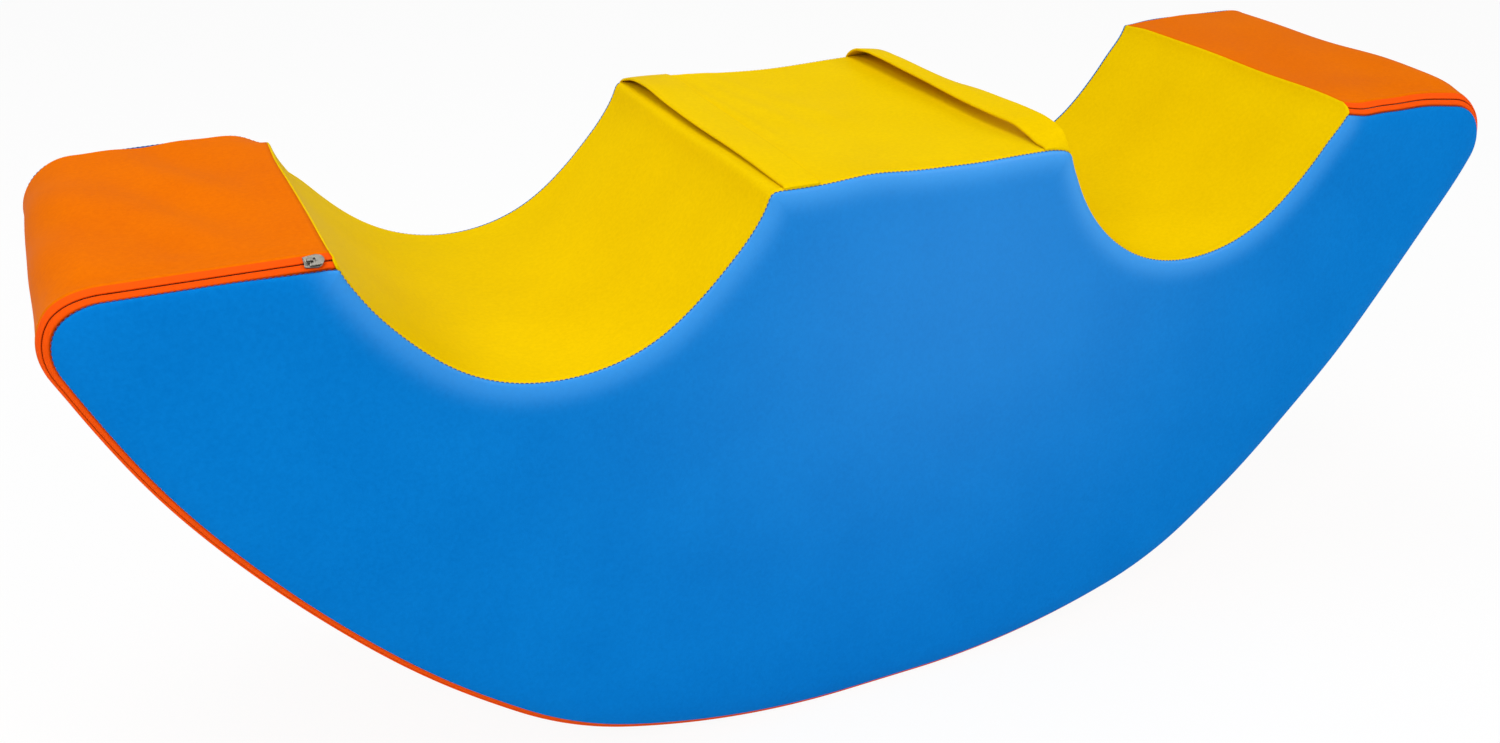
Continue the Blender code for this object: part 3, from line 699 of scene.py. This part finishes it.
def side_cover(name, side, zipped, node):
    """Rings that follow the outline from the seam inwards, then a flat face."""
    rows = []
    drop = ZIP_DROP if zipped else 0.0
    for inset, recess in crown_rows():
        corner = LEAST_CORNER_RADIUS if zipped else fold_radius(inset)
        rows.append(at_width(whole_ring(inset + drop, inset, corner), side * (HALF_WIDTH - recess)))
    grid = np.array(rows)
    faces = grid_faces(grid, closed=True)
    flat, more = fill_face(rows[-1][:, [0, 2]], FACE_SPACING)
    start = grid.shape[0] * grid.shape[1]
    faces += [tuple(start + i for i in face) for face in more]
    points = np.vstack([grid.reshape(-1, 3), at_width(flat, rows[-1][0, 1])])
    piece = add_piece(name, settled(points), faces, lambda _: Vector((0.0, side, 0.0)), BLUE_VINYL)
    mark_painted_highlight_and_shine(piece.data, side)
    thicken(piece, COVER_THICKNESS)
    hand_over(piece, "rocker", node)


side_cover("front_side_cover", -1, True, "front_side_panel")
side_cover("back_side_cover", 1, False, "back_side_panel")

# %% [markdown]
# ## The yellow seat strip
#
# One strip of yellow runs down into both hollows and over the middle block. Across its width it
# is straight, as cloth under tension is. Along both sides it has a small rolled lip and dives
# into the seam. At its ends it is folded over the orange, which leaves a thin raised edge.


# %% Columns across the width
def edge_columns(width, front_sewn):
    """Distances across a strip, close together near its back edge, and near a sewn front edge."""
    near = np.array([0.0, 0.5, 1.0, 1.6, 2.3, 3.0, 3.8, 4.8, 6.2, 8.5]) * 0.001
    middle = np.linspace(0.0125, width - 0.0125, 46)
    return np.concatenate([near[: len(near) if front_sewn else 0], middle, (width - near)[::-1]])


def roll_recess(drop):
    """How far behind the face the zip's rolled corner lies, that far below the top."""
    return ROLL_CENTRE[1] - np.sqrt(ROLL_RADIUS**2 - (ROLL_RADIUS - drop) ** 2)


def along_line(line):
    steps = np.hypot(*np.diff(line, axis=0).T)
    return np.concatenate([[0.0], np.cumsum(steps)])


def from_ends(line):
    """How far each point of a line lies from the nearer of its ends."""
    gone = along_line(line)
    return np.minimum(gone, gone[-1] - gone)


# Where the left strap's inner edge lies, as (y, x)
LEFT_STRAP_INNER_X = [
    (-SEWN_Y, -0.0880), (-0.10, -0.0860), (0.0, -0.0825), (0.10, -0.0818), (SEWN_Y, -0.0815)
]


def seat_creases(points):
    """Faint folds that fan out from the left strap over the block, and a dent beside it."""
    x, y, z = points.T
    flat = smooth_step(z, 0.474, 0.479) * smooth_step(0.12 - np.abs(x), 0.0, 0.02)
    beside = x - BLOCK_SHIFT - through(LEFT_STRAP_INNER_X, y)
    total = -0.0010 * hump(beside, 0.0010, 0.0022)
    for start_x, lean, width, height in (
        (-0.070, 0.10, 0.005, 0.0010),
        (-0.056, 0.34, 0.009, 0.0009),
        (-0.036, 0.62, 0.012, 0.0007),
    ):
        across = (x - start_x) - lean * (0.13 - y) * 0.5
        total += height * hump(across, 0.0, width) * smooth_step(y, -0.12, 0.05)
    return total * flat


LIP_COVER = 0.0006


def build_seat_cover():
    base = seat_line(0.0)
    drop = HEIGHT - base[:, 1]
    on_lip = (np.abs(base[:, 0]) > SEAT_CENTRE[0]) & (drop < ZIP_DROP)
    front = np.full(len(base), SIDE_CROWN)
    front[on_lip] = np.maximum(SIDE_CROWN, roll_recess(np.clip(drop[on_lip], 0.0, None)) - LIP_COVER)
    y_front = -(HALF_WIDTH - front)
    width = WIDTH - 2 * SIDE_CROWN
    rows = []
    for across in edge_columns(width, True):
        line = seat_line(float(tuck(min(across, width - across))))
        rows.append(at_width(line, y_front + across / width * (SEWN_Y - y_front)))
    grid = settled_grid(rows)
    shape = grid.shape[:2]
    end = from_ends(base)
    fold = 0.0002 * hump(end, 0.0018, 0.0010) - 0.0010 * hump(end, 0.0, 0.0006)
    raise_by = fold + seat_creases(grid.reshape(-1, 3)).reshape(shape)
    grid = grid + surface_normals(grid, True) * raise_by[:, :, None]
    outward = lambda p: Vector((-p[0], 0.0, 1.0))
    piece = add_piece("seat_cover", grid, grid_faces(grid), outward, YELLOW_VINYL)
    thicken(piece, COVER_THICKNESS)
    hand_over(piece, "rocker", "seat_panel")


build_seat_cover()

# %% [markdown]
# ## The orange band
#
# The orange strip starts at one seat seam, goes round the end, the belly and the other end, and
# stops at the other seat seam. Its back edge is sewn to the blue side. Its front edge is turned
# under in a rounded hem, and the zip is sewn below the hem. The two end tops carry long soft
# folds, because there the cloth is only held along its edges.


# %% Build the band
HEM_EDGE_RECESS = ROLL_CENTRE[1] - ROLL_RADIUS * math.sin(HEM_ANGLE)
BAND_END_GAP = 0.0007

# The hem from its turned-in edge outwards, as (inset, distance along y). Its first rows are inside.
HEM_TURN_ROWS = 6
HEM_SECTION = [
    (0.0024, 0.0060),
    (0.0024, 0.0026),
    (0.0023, 0.0011),
    (0.0019, 0.0003),
    (0.0012, 0.0000),
    (0.0004, 0.0003),
    (-0.0002, 0.0011),
    (-0.0005, 0.0022),
    (-0.0005, 0.0034),
    (-0.0003, 0.0050),
    (0.0000, 0.0075),
]


def end_folds(points):
    """Long soft folds on the two end tops, running from the back corner to the front."""
    x, y, z = points.T
    top = smooth_step(z, 0.43, 0.475)
    left = smooth_step(-x, 0.44, 0.47)
    right_end = smooth_step(x, 0.44, 0.47)
    across = 0.857 * x + 0.515 * y
    waves = 0.0016 * np.sin(2 * math.pi * across / 0.068 + 0.6) * hump(y, 0.02, 0.13)
    waves += 0.0004 * np.sin(2 * math.pi * (0.94 * x + 0.34 * y) / 0.041 + 2.0)
    other = 0.0005 * np.sin(2 * math.pi * (x - 0.5 * y) / 0.085 + 1.0)
    return top * (left * waves * smooth_step(y, -0.140, -0.095) + right_end * other)


def build_belly_cover():
    y_hem = -(HALF_WIDTH - HEM_EDGE_RECESS)
    sections = [(inset, y_hem + shift) for inset, shift in HEM_SECTION]
    start = sections[-1][1]
    width = SEWN_Y - start
    for across in edge_columns(width, False):
        sections.append((float(tuck(width - across)), start + across))
    grid = settled_grid([at_width(band_line(inset, SEAM_X - BAND_END_GAP), y) for inset, y in sections])
    shape = grid.shape[:2]
    outer = np.arange(len(sections))[:, None] >= HEM_TURN_ROWS
    raise_by = end_folds(grid.reshape(-1, 3)).reshape(shape)
    raise_by = raise_by - 0.0001 * hump(from_ends(band_line(0.0, SEAM_X)), 0.0, 0.0010)
    grid = grid + surface_normals(grid, False) * np.where(outer, raise_by, 0.0)[:, :, None]
    grid[:, :, 2] = np.maximum(grid[:, :, 2], 0.0)
    outward = lambda p: Vector((p[0], 0.0, p[2] - 0.3))
    piece = add_piece("belly_cover", grid, grid_faces(grid), outward, ORANGE_VINYL)
    thicken(piece, COVER_THICKNESS * 0.8)
    hand_over(piece, "rocker", "belly_panel")


build_belly_cover()

# %% [markdown]
# ## Zip tapes
#
# A zip's tape is a narrow woven ribbon. Both tapes follow the rolled corner, one under the hem
# and one down to the blue seam, and their inner edges turn down beside the teeth. The weave
# follows the tape, so it is drawn on a UV map in metres: along the tape, and across it.


# %% Woven tape
def build_weave_group():
    """Ribs across a tape and slanted twill lines. It reads a UV map in metres."""
    tree, given, out = new_group("tape weave", [("Pitch", 0.0009)], ["Height"])
    uv = add_node(tree, "ShaderNodeUVMap", uv_map="UVMap")
    split = add_node(tree, "ShaderNodeSeparateXYZ", {0: uv.outputs["UV"]})
    turns = math_node(tree, "DIVIDE", 2 * math.pi, given.outputs["Pitch"])
    ribs = math_node(tree, "SINE", math_node(tree, "MULTIPLY", split.outputs["X"], turns))
    doubled = math_node(tree, "MULTIPLY", split.outputs["Y"], 2.0)
    slant = math_node(tree, "ADD", split.outputs["X"], doubled)
    twill = math_node(tree, "SINE", math_node(tree, "MULTIPLY", slant, turns))
    twill = math_node(tree, "MULTIPLY", twill, 0.65)
    both = math_node(tree, "ADD", math_node(tree, "MULTIPLY", ribs, 0.35), twill)
    feed(tree, out, {"Height": math_node(tree, "MULTIPLY_ADD", both, 0.5, 0.5)})
    return tree


TAPE_WEAVE = build_weave_group()


def tape_material():
    material, tree, shader = new_material("zip_tape_cloth")
    weave = add_node(tree, "ShaderNodeGroup", node_tree=TAPE_WEAVE).outputs["Height"]
    two_tone(tree, (236, 70, 2), (255, 96, 8), weave, shader)
    feed(tree, shader, {"Roughness": 0.78, "Specular IOR Level": 0.05})
    bump(tree, math_node(tree, "MULTIPLY", weave, 0.00012), shader)
    return material


TAPE_CLOTH = tape_material()
ZIP_END_REACH = 0.0012
TAPE_THICKNESS = 0.0006


def seat_edge_x(drop):
    """How far out the yellow lip's surface lies, that far below the top."""
    base = seat_half(0.0, 0.0, FOLD_RADIUS)[: LIP_STEPS + WALL_STEPS + 20]
    return float(np.interp(drop, HEIGHT - base[:, 1], base[:, 0]))


def roll_place(depth, angle):
    """(inset, recess) of a point on the zip roll, this far under its outer surface."""
    radius = ROLL_RADIUS - depth
    return ROLL_CENTRE[0] - radius * math.cos(angle), ROLL_CENTRE[1] - radius * math.sin(angle)


def zip_tape(name, node, sections, tucked_in):
    """A strip along the whole band, from (depth, angle) pairs across it. Its ends are tucked in."""
    rows, places = [], [roll_place(depth, angle) for depth, angle in sections]
    across = along_line(np.array(places))
    for inset, recess in places:
        line = band_line(inset, seat_edge_x(max(inset, 0.0)) + ZIP_END_REACH)
        gone = along_line(line)
        rows.append(at_width(line, tucked_in * hump(from_ends(line), 0.0, 0.004) - (HALF_WIDTH - recess)))
    grid = settled_grid(rows)
    mesh = bpy.data.meshes.new(name)
    mesh.from_pydata([tuple(p) for p in grid.reshape(-1, 3)], [], grid_faces(grid))
    layer = mesh.uv_layers.new(name="UVMap")
    columns = grid.shape[1]
    vertex = np.array([loop.vertex_index for loop in mesh.loops])
    uv = np.column_stack([gone[vertex % columns], across[vertex // columns]])
    layer.data.foreach_set("uv", uv.astype(np.float32).ravel())
    middle = mesh.polygons[len(mesh.polygons) // 2]
    if middle.normal.dot(Vector((0.0, -0.6, -0.8))) < 0:
        mesh.flip_normals()
    mesh.shade_smooth()
    mesh.materials.append(TAPE_CLOTH)
    piece = add_object(name, mesh)
    thicken(piece, TAPE_THICKNESS)
    hand_over(piece, "rocker", node)


TAPE_SINK = 0.00035
TAPE_GAP = 0.00062 / ROLL_RADIUS
upper_edge, lower_edge = ZIP_ANGLE - TAPE_GAP, ZIP_ANGLE + TAPE_GAP
upper_sections = [(0.0014, math.radians(1.0)), (0.0011, math.radians(4.5))]
upper_sections += [(TAPE_SINK, math.radians(a)) for a in np.linspace(8.0, 31.0, 8)]
upper_sections += [(0.0002, upper_edge - 0.06), (0.0003, upper_edge - 0.02), (0.0009, upper_edge)]
lower_sections = [(0.0009, lower_edge), (0.0003, lower_edge + 0.02), (0.0002, lower_edge + 0.06)]
lower_sections += [(TAPE_SINK, math.radians(a)) for a in np.linspace(47.5, 64.0, 6)]
lower_sections += [(0.0007, math.radians(67.5)), (0.0016, math.radians(69.5))]
lower_sections += [(0.0021, math.radians(80.0))]
zip_tape("upper_tape", "upper_zip_tape", upper_sections, 0.0012)
zip_tape("lower_tape", "lower_zip_tape", lower_sections, 0.0003)

# %% [markdown]
# ## Teeth and stitches
#
# Zip teeth and stitches are one small shape repeated along a line hundreds of times, which is
# what Geometry Nodes are for. One tree serves both: it cuts a line into even steps, puts a
# stretched ball on each step, and turns it by the line's direction and by an attribute that
# says which way is out of the cloth.


# %% A tree that repeats a bead along a seam
BEAD_SIZES = ("Pitch", "Length along", "Width across", "Height out")


def build_bead_tree():
    tree = bpy.data.node_groups.new("beads along a seam", "GeometryNodeTree")
    sockets = [("Geometry", "INPUT", "Geometry"), *((label, "INPUT", "Float") for label in BEAD_SIZES)]
    for label, way, kind in sockets + [("Material", "INPUT", "Material"), ("Geometry", "OUTPUT", "Geometry")]:
        tree.interface.new_socket(name=label, in_out=way, socket_type="NodeSocket" + kind)
    given = tree.nodes.new("NodeGroupInput").outputs

    def step(kind, output, values=None, **settings):
        return add_node(tree, kind, values, **settings).outputs[output]

    curve = step("GeometryNodeMeshToCurve", "Curve", {"Mesh": given["Geometry"]})
    lengths = {"Curve": curve, "Length": given["Pitch"]}
    even = step("GeometryNodeResampleCurve", "Curve", lengths, mode="LENGTH")
    ball = step("GeometryNodeMeshUVSphere", "Mesh", {"Segments": 8, "Rings": 5, "Radius": 0.5})
    stretch = dict(zip("XYZ", (given[label] for label in BEAD_SIZES[1:])))
    size = step("ShaderNodeCombineXYZ", "Vector", stretch)
    outward = step("GeometryNodeInputNamedAttribute", "Attribute", {"Name": "out"}, data_type="FLOAT_VECTOR")
    axes = {"Primary Axis": outward, "Secondary Axis": step("GeometryNodeInputTangent", "Tangent")}
    turn = step("FunctionNodeAxesToRotation", "Rotation", axes)
    where = {"Points": even, "Instance": ball, "Rotation": turn, "Scale": size}
    beads = step("GeometryNodeInstanceOnPoints", "Instances", where)
    beads = step("GeometryNodeRealizeInstances", "Geometry", {"Geometry": beads})
    beads = step("GeometryNodeSetShadeSmooth", "Geometry", {"Geometry": beads})
    finish = {"Geometry": beads, "Material": given["Material"]}
    beads = step("GeometryNodeSetMaterial", "Geometry", finish)
    feed(tree, tree.nodes.new("NodeGroupOutput"), {"Geometry": beads})
    return tree


BEAD_TREE = build_bead_tree()


def beads_along(name, path_line, sizes, material):
    """Beads along a line of points with outward vectors, as one plain mesh."""
    points, outward = path_line
    mesh = bpy.data.meshes.new(name + "_path")
    edges = [(i, i + 1) for i in range(len(points) - 1)]
    mesh.from_pydata([tuple(p) for p in points], edges, [])
    attribute = mesh.attributes.new("out", "FLOAT_VECTOR", "POINT")
    attribute.data.foreach_set("vector", outward.astype(np.float32).ravel())
    path = add_object(name + "_path", mesh)
    modifier = path.modifiers.new("beads", "NODES")
    modifier.node_group = BEAD_TREE
    settings = dict(zip(BEAD_SIZES, sizes), Material=material)
    for item in BEAD_TREE.interface.items_tree:
        if item.in_out == "INPUT" and item.name in settings:
            modifier[item.identifier] = settings[item.name]
    bpy.context.view_layer.update()
    graph = bpy.context.evaluated_depsgraph_get()
    made = bpy.data.meshes.new_from_object(path.evaluated_get(graph))
    made.name = name
    bpy.data.objects.remove(path)
    return add_object(name, made)


def seam_path(line, y, lean, sideways):
    """Points along a seam, with vectors that point out of the cloth there."""
    along = np.gradient(line, axis=0)
    along /= np.maximum(np.linalg.norm(along, axis=1, keepdims=True), 1e-9)
    outward = np.column_stack([lean * along[:, 1], np.full(len(line), sideways), -lean * along[:, 0]])
    return settled(at_width(line, y)), outward


# %% Zip teeth
TOOTH_NYLON = cloudy_material("zip_tooth_nylon", 600.0, (150, 34, 4), (196, 50, 8), 0.4)
TOOTH_SIZES = (0.0015, 0.0011, 0.0026, 0.0014)
TOOTH_SHIFT = 0.00176 / ROLL_RADIUS
TOOTH_DEPTH = 0.0020


def tooth_line(angle):
    inset, recess = roll_place(TOOTH_DEPTH, angle)
    line = band_line(inset, seat_edge_x(inset) + ZIP_END_REACH)
    return seam_path(line, -(HALF_WIDTH - recess), math.cos(angle), -math.sin(angle))


for name, angle, node in (
    ("upper_teeth", ZIP_ANGLE - TOOTH_SHIFT, "upper_zip_coil"),
    ("lower_teeth", ZIP_ANGLE + TOOTH_SHIFT, "lower_zip_coil"),
):
    teeth = beads_along(name, tooth_line(angle), TOOTH_SIZES, TOOTH_NYLON)
    hand_over(teeth, "rocker", node)


# %% Stitches along the blue seams
DARK_THREAD = cloudy_material("dark_thread", 900.0, (30, 56, 120), (48, 78, 150), 0.7)
STITCH_SIZES = (0.0036, 0.0027, 0.0008, 0.0007)


def stitch_line(side, zipped):
    """The line where a side panel meets its neighbours."""
    drop, corner = (ZIP_DROP, LEAST_CORNER_RADIUS) if zipped else (0.0, FOLD_RADIUS)
    line = whole_ring(drop + 0.0007, 0.0007, corner)
    return seam_path(np.vstack([line, line[:1]]), side * (SEWN_Y + 0.0002), 1.0, side * 0.6)


for name, side, zipped in (("front_stitches", -1, True), ("back_stitches", 1, False)):
    stitches = beads_along(name, stitch_line(side, zipped), STITCH_SIZES, DARK_THREAD)
    hand_over(stitches, "rocker", None)

# %% [markdown]
# ## Strap handles
#
# Each handle is a band of doubled vinyl, sewn into the seam on both sides of the block. The
# left one lies with its inner edge on the block and its outer edge lifted. The right one arches
# clear of the block. A strap is described by a few places and heights along each of its two
# edges, with smooth curves through them. Each strap is made as two halves that meet in the
# middle, because the front half bends between the block and the grip, and so does the back
# half, in the other direction.


# %% The section of a strap, and where it lies
STRAP_WIDTH = 0.040
STRAP_THICKNESS = 0.0022


def block_top(x):
    """Height of the middle block's top there, rounded down at its two lips."""
    over = np.clip(np.abs(x) - BLOCK_CORNER[0], 0.0, BLOCK_CORNER_RADIUS * 0.95)
    return BLOCK_CORNER[1] + np.sqrt(BLOCK_CORNER_RADIUS**2 - over**2)


def strap_section():
    """Across the strap: (share of its width from -1 to 1, height over its underside)."""
    half, thick = STRAP_WIDTH / 2, STRAP_THICKNESS
    turn = np.linspace(-math.pi / 2, math.pi / 2, 7)
    bead = thick / 2 * 1.12
    edge = [(half - bead + bead * math.cos(a), thick / 2 + bead * math.sin(a)) for a in turn]
    inner = np.linspace(half - bead - 0.0012, -(half - bead - 0.0012), 14)
    top = [(w, thick - 0.0001 + 0.0004 * (1 - (w / half) ** 2)) for w in inner]
    under = [(w, 0.0001) for w in inner[::-1]]
    left = [(-w, h) for w, h in edge[::-1]]
    return np.array(edge + top + left + under)


STRAP_SECTION = strap_section()


def strap_points(y, left_x, right_x, left_lift, right_lift, droop):
    """One section of a strap for each y, lifted at its two edges, the right one bent down."""
    rows = []
    for w, height in STRAP_SECTION:
        share = (w / (STRAP_WIDTH / 2) + 1) / 2
        lift = left_lift * (1 - share) + right_lift * share
        lift = lift - droop * smooth_step(share, 0.55, 1.0)
        x = left_x * (1 - share) + right_x * share
        clear = smooth_step(lift, 0.0, 0.008)
        ground = block_top(x) * (1 - clear) + HEIGHT * clear
        drop = smooth_step(np.abs(y), 0.1485, 0.1522) * 0.0016
        rows.append(np.column_stack([x, y, ground + 0.0005 + lift + height - drop]))
    return np.array(rows)


STRAP_SHARP_ANGLE = math.radians(50)


def strap_halves(name, left_x, right_x, left_lift, right_lift, droop):
    """The two halves of one strap, from the places and lifts of its two edges as (y, value)."""
    made = []
    for half_name, start, end in (("front", -SEWN_Y, 0.0), ("back", 0.0, SEWN_Y)):
        y = np.linspace(start, end, 71)
        edges = [through(keys, y) for keys in (left_x, right_x, left_lift, right_lift, droop)]
        grid = settled_grid(np.transpose(strap_points(y, *edges), (1, 0, 2)))
        rows, columns = grid.shape[:2]
        faces = grid_faces(grid, closed=True)
        for first in (0, (rows - 1) * columns):
            faces.append(tuple(range(first, first + columns)))
        outward = lambda p: Vector((0.0, p[1], 0.0))
        piece = add_piece(f"{name}_{half_name}", grid, faces, outward, YELLOW_VINYL)
        piece.data.set_sharp_from_angle(angle=STRAP_SHARP_ANGLE)
        made.append(piece)
    return made


# %% Both straps
left_strap = strap_halves(
    "left_strap",
    left_x=[(-0.152, -0.1230), (-0.10, -0.1244), (0.0, -0.1270), (0.10, -0.1292), (0.152, -0.1305)],
    right_x=LEFT_STRAP_INNER_X,
    left_lift=[
        (-0.152, 0), (-0.136, 0.0003), (-0.115, 0.0011), (-0.06, 0.0026), (0.0, 0.0046),
        (0.06, 0.0062), (0.105, 0.0086), (0.130, 0.0062), (0.152, 0),
    ],
    right_lift=[
        (-0.152, 0), (-0.12, 0.0008), (0.0, 0.0012), (0.06, 0.0018), (0.110, 0.0035),
        (0.137, 0.0025), (0.152, 0),
    ],
    droop=[(-0.152, 0), (0.152, 0)],
)
right_strap = strap_halves(
    "right_strap",
    left_x=[
        (-0.152, 0.1095), (-0.130, 0.1085), (-0.087, 0.1060), (-0.019, 0.1032), (0.046, 0.1025),
        (0.117, 0.1015), (0.152, 0.1015),
    ],
    right_x=[
        (-0.152, 0.1340), (-0.10, 0.1355), (-0.04, 0.1365), (0.03, 0.1360), (0.10, 0.1355),
        (0.152, 0.1370),
    ],
    left_lift=[
        (-0.152, 0), (-0.140, 0.0006), (-0.128, 0.0038), (-0.113, 0.0074), (-0.087, 0.0086),
        (-0.019, 0.0092), (0.046, 0.0115), (0.095, 0.0125), (0.117, 0.0118), (0.140, 0.0070),
        (0.152, 0),
    ],
    right_lift=[
        (-0.152, 0), (-0.138, 0.0082), (-0.122, 0.0110), (-0.092, 0.0115), (-0.045, 0.0098),
        (0.011, 0.0082), (0.098, 0.0076), (0.1345, 0.0040), (0.152, 0),
    ],
    droop=[
        (-0.152, 0), (-0.06, 0), (0.0, 0.0020), (0.05, 0.0042), (0.10, 0.0036), (0.13, 0.0010),
        (0.152, 0),
    ],
)
for halves, body in ((left_strap, "left_handle"), (right_strap, "right_handle")):
    for half, side, leg in zip(halves, (-1, 1), ("front", "back")):
        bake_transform(half)
        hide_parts(f"{body}_{leg}_leg", f"{body}_grip")
    print(body, "points:", sum(len(half.data.vertices) for half in halves))

# %% [markdown]
# ## Slider, tab and foam
#
# The slider and its tab are cast metal. Their solids have the right shape, so a copy of each is
# merged into one surface and gets a narrow bevel: it is the bright line along an edge that makes
# metal look like metal. The foam is closed in by its cover. It is made from the same outline,
# a little smaller, so that it follows the cover's shifts and shows nowhere.


# %% Metal
def nickel_material():
    material, tree, shader = new_material("worn_nickel")
    cloudy = noise_node(tree, object_place(tree), 420.0, 4.0, 0.6)
    two_tone(tree, (104, 102, 94), (168, 165, 156), cloudy, shader)
    rough = math_node(tree, "MULTIPLY_ADD", cloudy, 0.22, 0.2)
    feed(tree, shader, {"Metallic": 1.0, "Roughness": rough})
    bump(tree, math_node(tree, "MULTIPLY", cloudy, 0.00003), shader)
    return material


NICKEL = nickel_material()
METAL_SHARP_ANGLE = math.radians(35)


def metal_piece(name, node, body, bevel):
    """A merged copy of a metal solid in its own place, with its sharp edges rounded."""
    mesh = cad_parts[node].data.copy()
    mesh.name = name
    mesh.materials.clear()
    mesh.materials.append(NICKEL)
    work = bmesh.new()
    work.from_mesh(mesh)
    bmesh.ops.remove_doubles(work, verts=work.verts, dist=MERGE_DISTANCE)
    nearly_flat = math.radians(1.0)
    bmesh.ops.dissolve_limit(work, angle_limit=nearly_flat, verts=work.verts, edges=work.edges)
    for face in work.faces:
        face.material_index = 0
    work.to_mesh(mesh)
    work.free()
    mesh.shade_smooth()
    mesh.set_sharp_from_angle(angle=METAL_SHARP_ANGLE)
    piece = add_object(name, mesh)
    rounding = piece.modifiers.new("rounded edges", "BEVEL")
    rounding.width = bevel
    rounding.segments = 2
    rounding.limit_method = "ANGLE"
    rounding.angle_limit = METAL_SHARP_ANGLE
    hand_over(piece, body, node)


metal_piece("slider", "zip_slider", "zip_slider", 0.00022)
metal_piece("pull_tab", "zip_pull_tab", "zip_pull", 0.00018)


# %% Foam, pressed in a little by its tight cover
FOAM_PRESS = 0.0032
FOAM_FACE_SPACING = 0.030


def foam_material():
    material, tree, shader = new_material("pale_foam")
    values = {"Scale": 700.0, "Vector": object_place(tree)}
    cells = add_node(tree, "ShaderNodeTexVoronoi", values).outputs["Distance"]
    two_tone(tree, (226, 220, 200), (240, 236, 222), cells, shader)
    feed(tree, shader, {"Roughness": 0.95})
    bump(tree, math_node(tree, "MULTIPLY", cells, 0.0004), shader)
    return material


def build_foam():
    """The block inside: rings from face to face, closed by a flat face on each side."""
    rows = []
    for side, recess, drop in (
        (-1, SIDE_CROWN + FOAM_PRESS, ZIP_DROP),
        (-1, ROLL_CENTRE[1] + FOAM_PRESS, 0.0),
        (-1, HALF_WIDTH / 2, 0.0),
        (1, HALF_WIDTH, 0.0),
        (1, HALF_WIDTH / 2, 0.0),
        (1, SIDE_CROWN + FOAM_PRESS, 0.0),
    ):
        corner = LEAST_CORNER_RADIUS if drop else fold_radius(FOAM_PRESS)
        line = whole_ring(FOAM_PRESS + drop, FOAM_PRESS, corner)
        rows.append(at_width(line, side * (HALF_WIDTH - recess)))
    grid = np.array(rows)
    faces = grid_faces(grid, closed=True)
    points = grid.reshape(-1, 3)
    for row in (rows[0], rows[-1]):
        flat, more = fill_face(row[:, [0, 2]], FOAM_FACE_SPACING)
        faces += [tuple(len(points) + i for i in face) for face in more]
        points = np.vstack([points, at_width(flat, row[0, 1])])
    outward = lambda p: Vector((0.0, p[1], 0.0))
    piece = add_piece("foam_block", settled(points), faces, outward, foam_material())
    hand_over(piece, "rocker", "foam_core")


build_foam()

# %% [markdown]
# ## Floor and light
#
# The rocker stands on a pale studio floor. The world is an even white that also fills the
# picture behind it. Three softboxes light it: one from the front left, one from the front
# right and one from above. The camera sees plain white, and the floor keeps the shadow.


# %% Floor
FLOOR_LIFT = 0.93
FLOOR_SIZE = 40.0


def floor_material():
    """Pale floor. The camera sees it lifted towards white, with its shadow kept."""
    material, tree, shader = new_material("studio_floor")
    feed(tree, shader, {"Base Color": (0.90, 0.90, 0.90, 1.0), "Roughness": 0.9})
    feed(tree, shader, {"Specular IOR Level": 0.05})
    white = tree.nodes.new("ShaderNodeEmission").outputs[0]
    path = tree.nodes.new("ShaderNodeLightPath")
    lifted = math_node(tree, "MULTIPLY", path.outputs["Is Camera Ray"], FLOOR_LIFT)
    choice = add_node(tree, "ShaderNodeMixShader", {0: lifted, 1: shader.outputs[0], 2: white})
    feed(tree, tree.nodes["Material Output"], {"Surface": choice.outputs[0]})
    return material


floor_mesh = bpy.data.meshes.new("floor")
half = FLOOR_SIZE / 2
corners = [(-half, -half, 0.0), (half, -half, 0.0), (half, half, 0.0), (-half, half, 0.0)]
floor_mesh.from_pydata(corners, [], [(0, 1, 2, 3)])
floor_mesh.materials.append(floor_material())
floor = add_object("floor", floor_mesh)
floor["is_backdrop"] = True

# %% Light
WORLD_LIGHT = 0.40
world = bpy.data.worlds.new("studio")
bpy.context.scene.world = world
world.use_nodes = True
sky = world.node_tree
path = sky.nodes.new("ShaderNodeLightPath")
seen = math_node(sky, "MAXIMUM", path.outputs["Is Camera Ray"], path.outputs["Is Transmission Ray"])
strength = math_node(sky, "MULTIPLY_ADD", seen, 1.0 - WORLD_LIGHT, WORLD_LIGHT)
feed(sky, sky.nodes["Background"], {"Color": (1.0, 1.0, 1.0, 1.0), "Strength": strength})


def lamp(name, place, target, size, power):
    data = bpy.data.lights.new(name, "AREA")
    data.shape = "DISK"
    data.size = size
    data.energy = power
    made = bpy.data.objects.new(name, data)
    made.location = place
    made.rotation_euler = (Vector(target) - Vector(place)).to_track_quat("-Z", "Y").to_euler()
    bpy.context.scene.collection.objects.link(made)


lamp("left softbox", (-2.1, -1.9, 2.3), (0.0, 0.0, 0.3), 1.3, 44.0)
lamp("right softbox", (2.1, -2.3, 1.9), (0.0, 0.0, 0.3), 1.3, 36.0)
lamp("top softbox", (-0.5, 0.3, 2.7), (0.0, 0.0, 0.4), 1.6, 30.0)
print("world light", WORLD_LIGHT)

# %% View and finish
scene = bpy.context.scene
scene.view_settings.view_transform = "Standard"

now_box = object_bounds()
grown = [round((now_box[1][i] - now_box[0][i] - cad_box[1][i] + cad_box[0][i]) * 1000, 1) for i in range(3)]
print("dressed box, metres:", [tuple(round(v, 4) for v in corner) for corner in now_box])
print("grown by, mm:", grown)
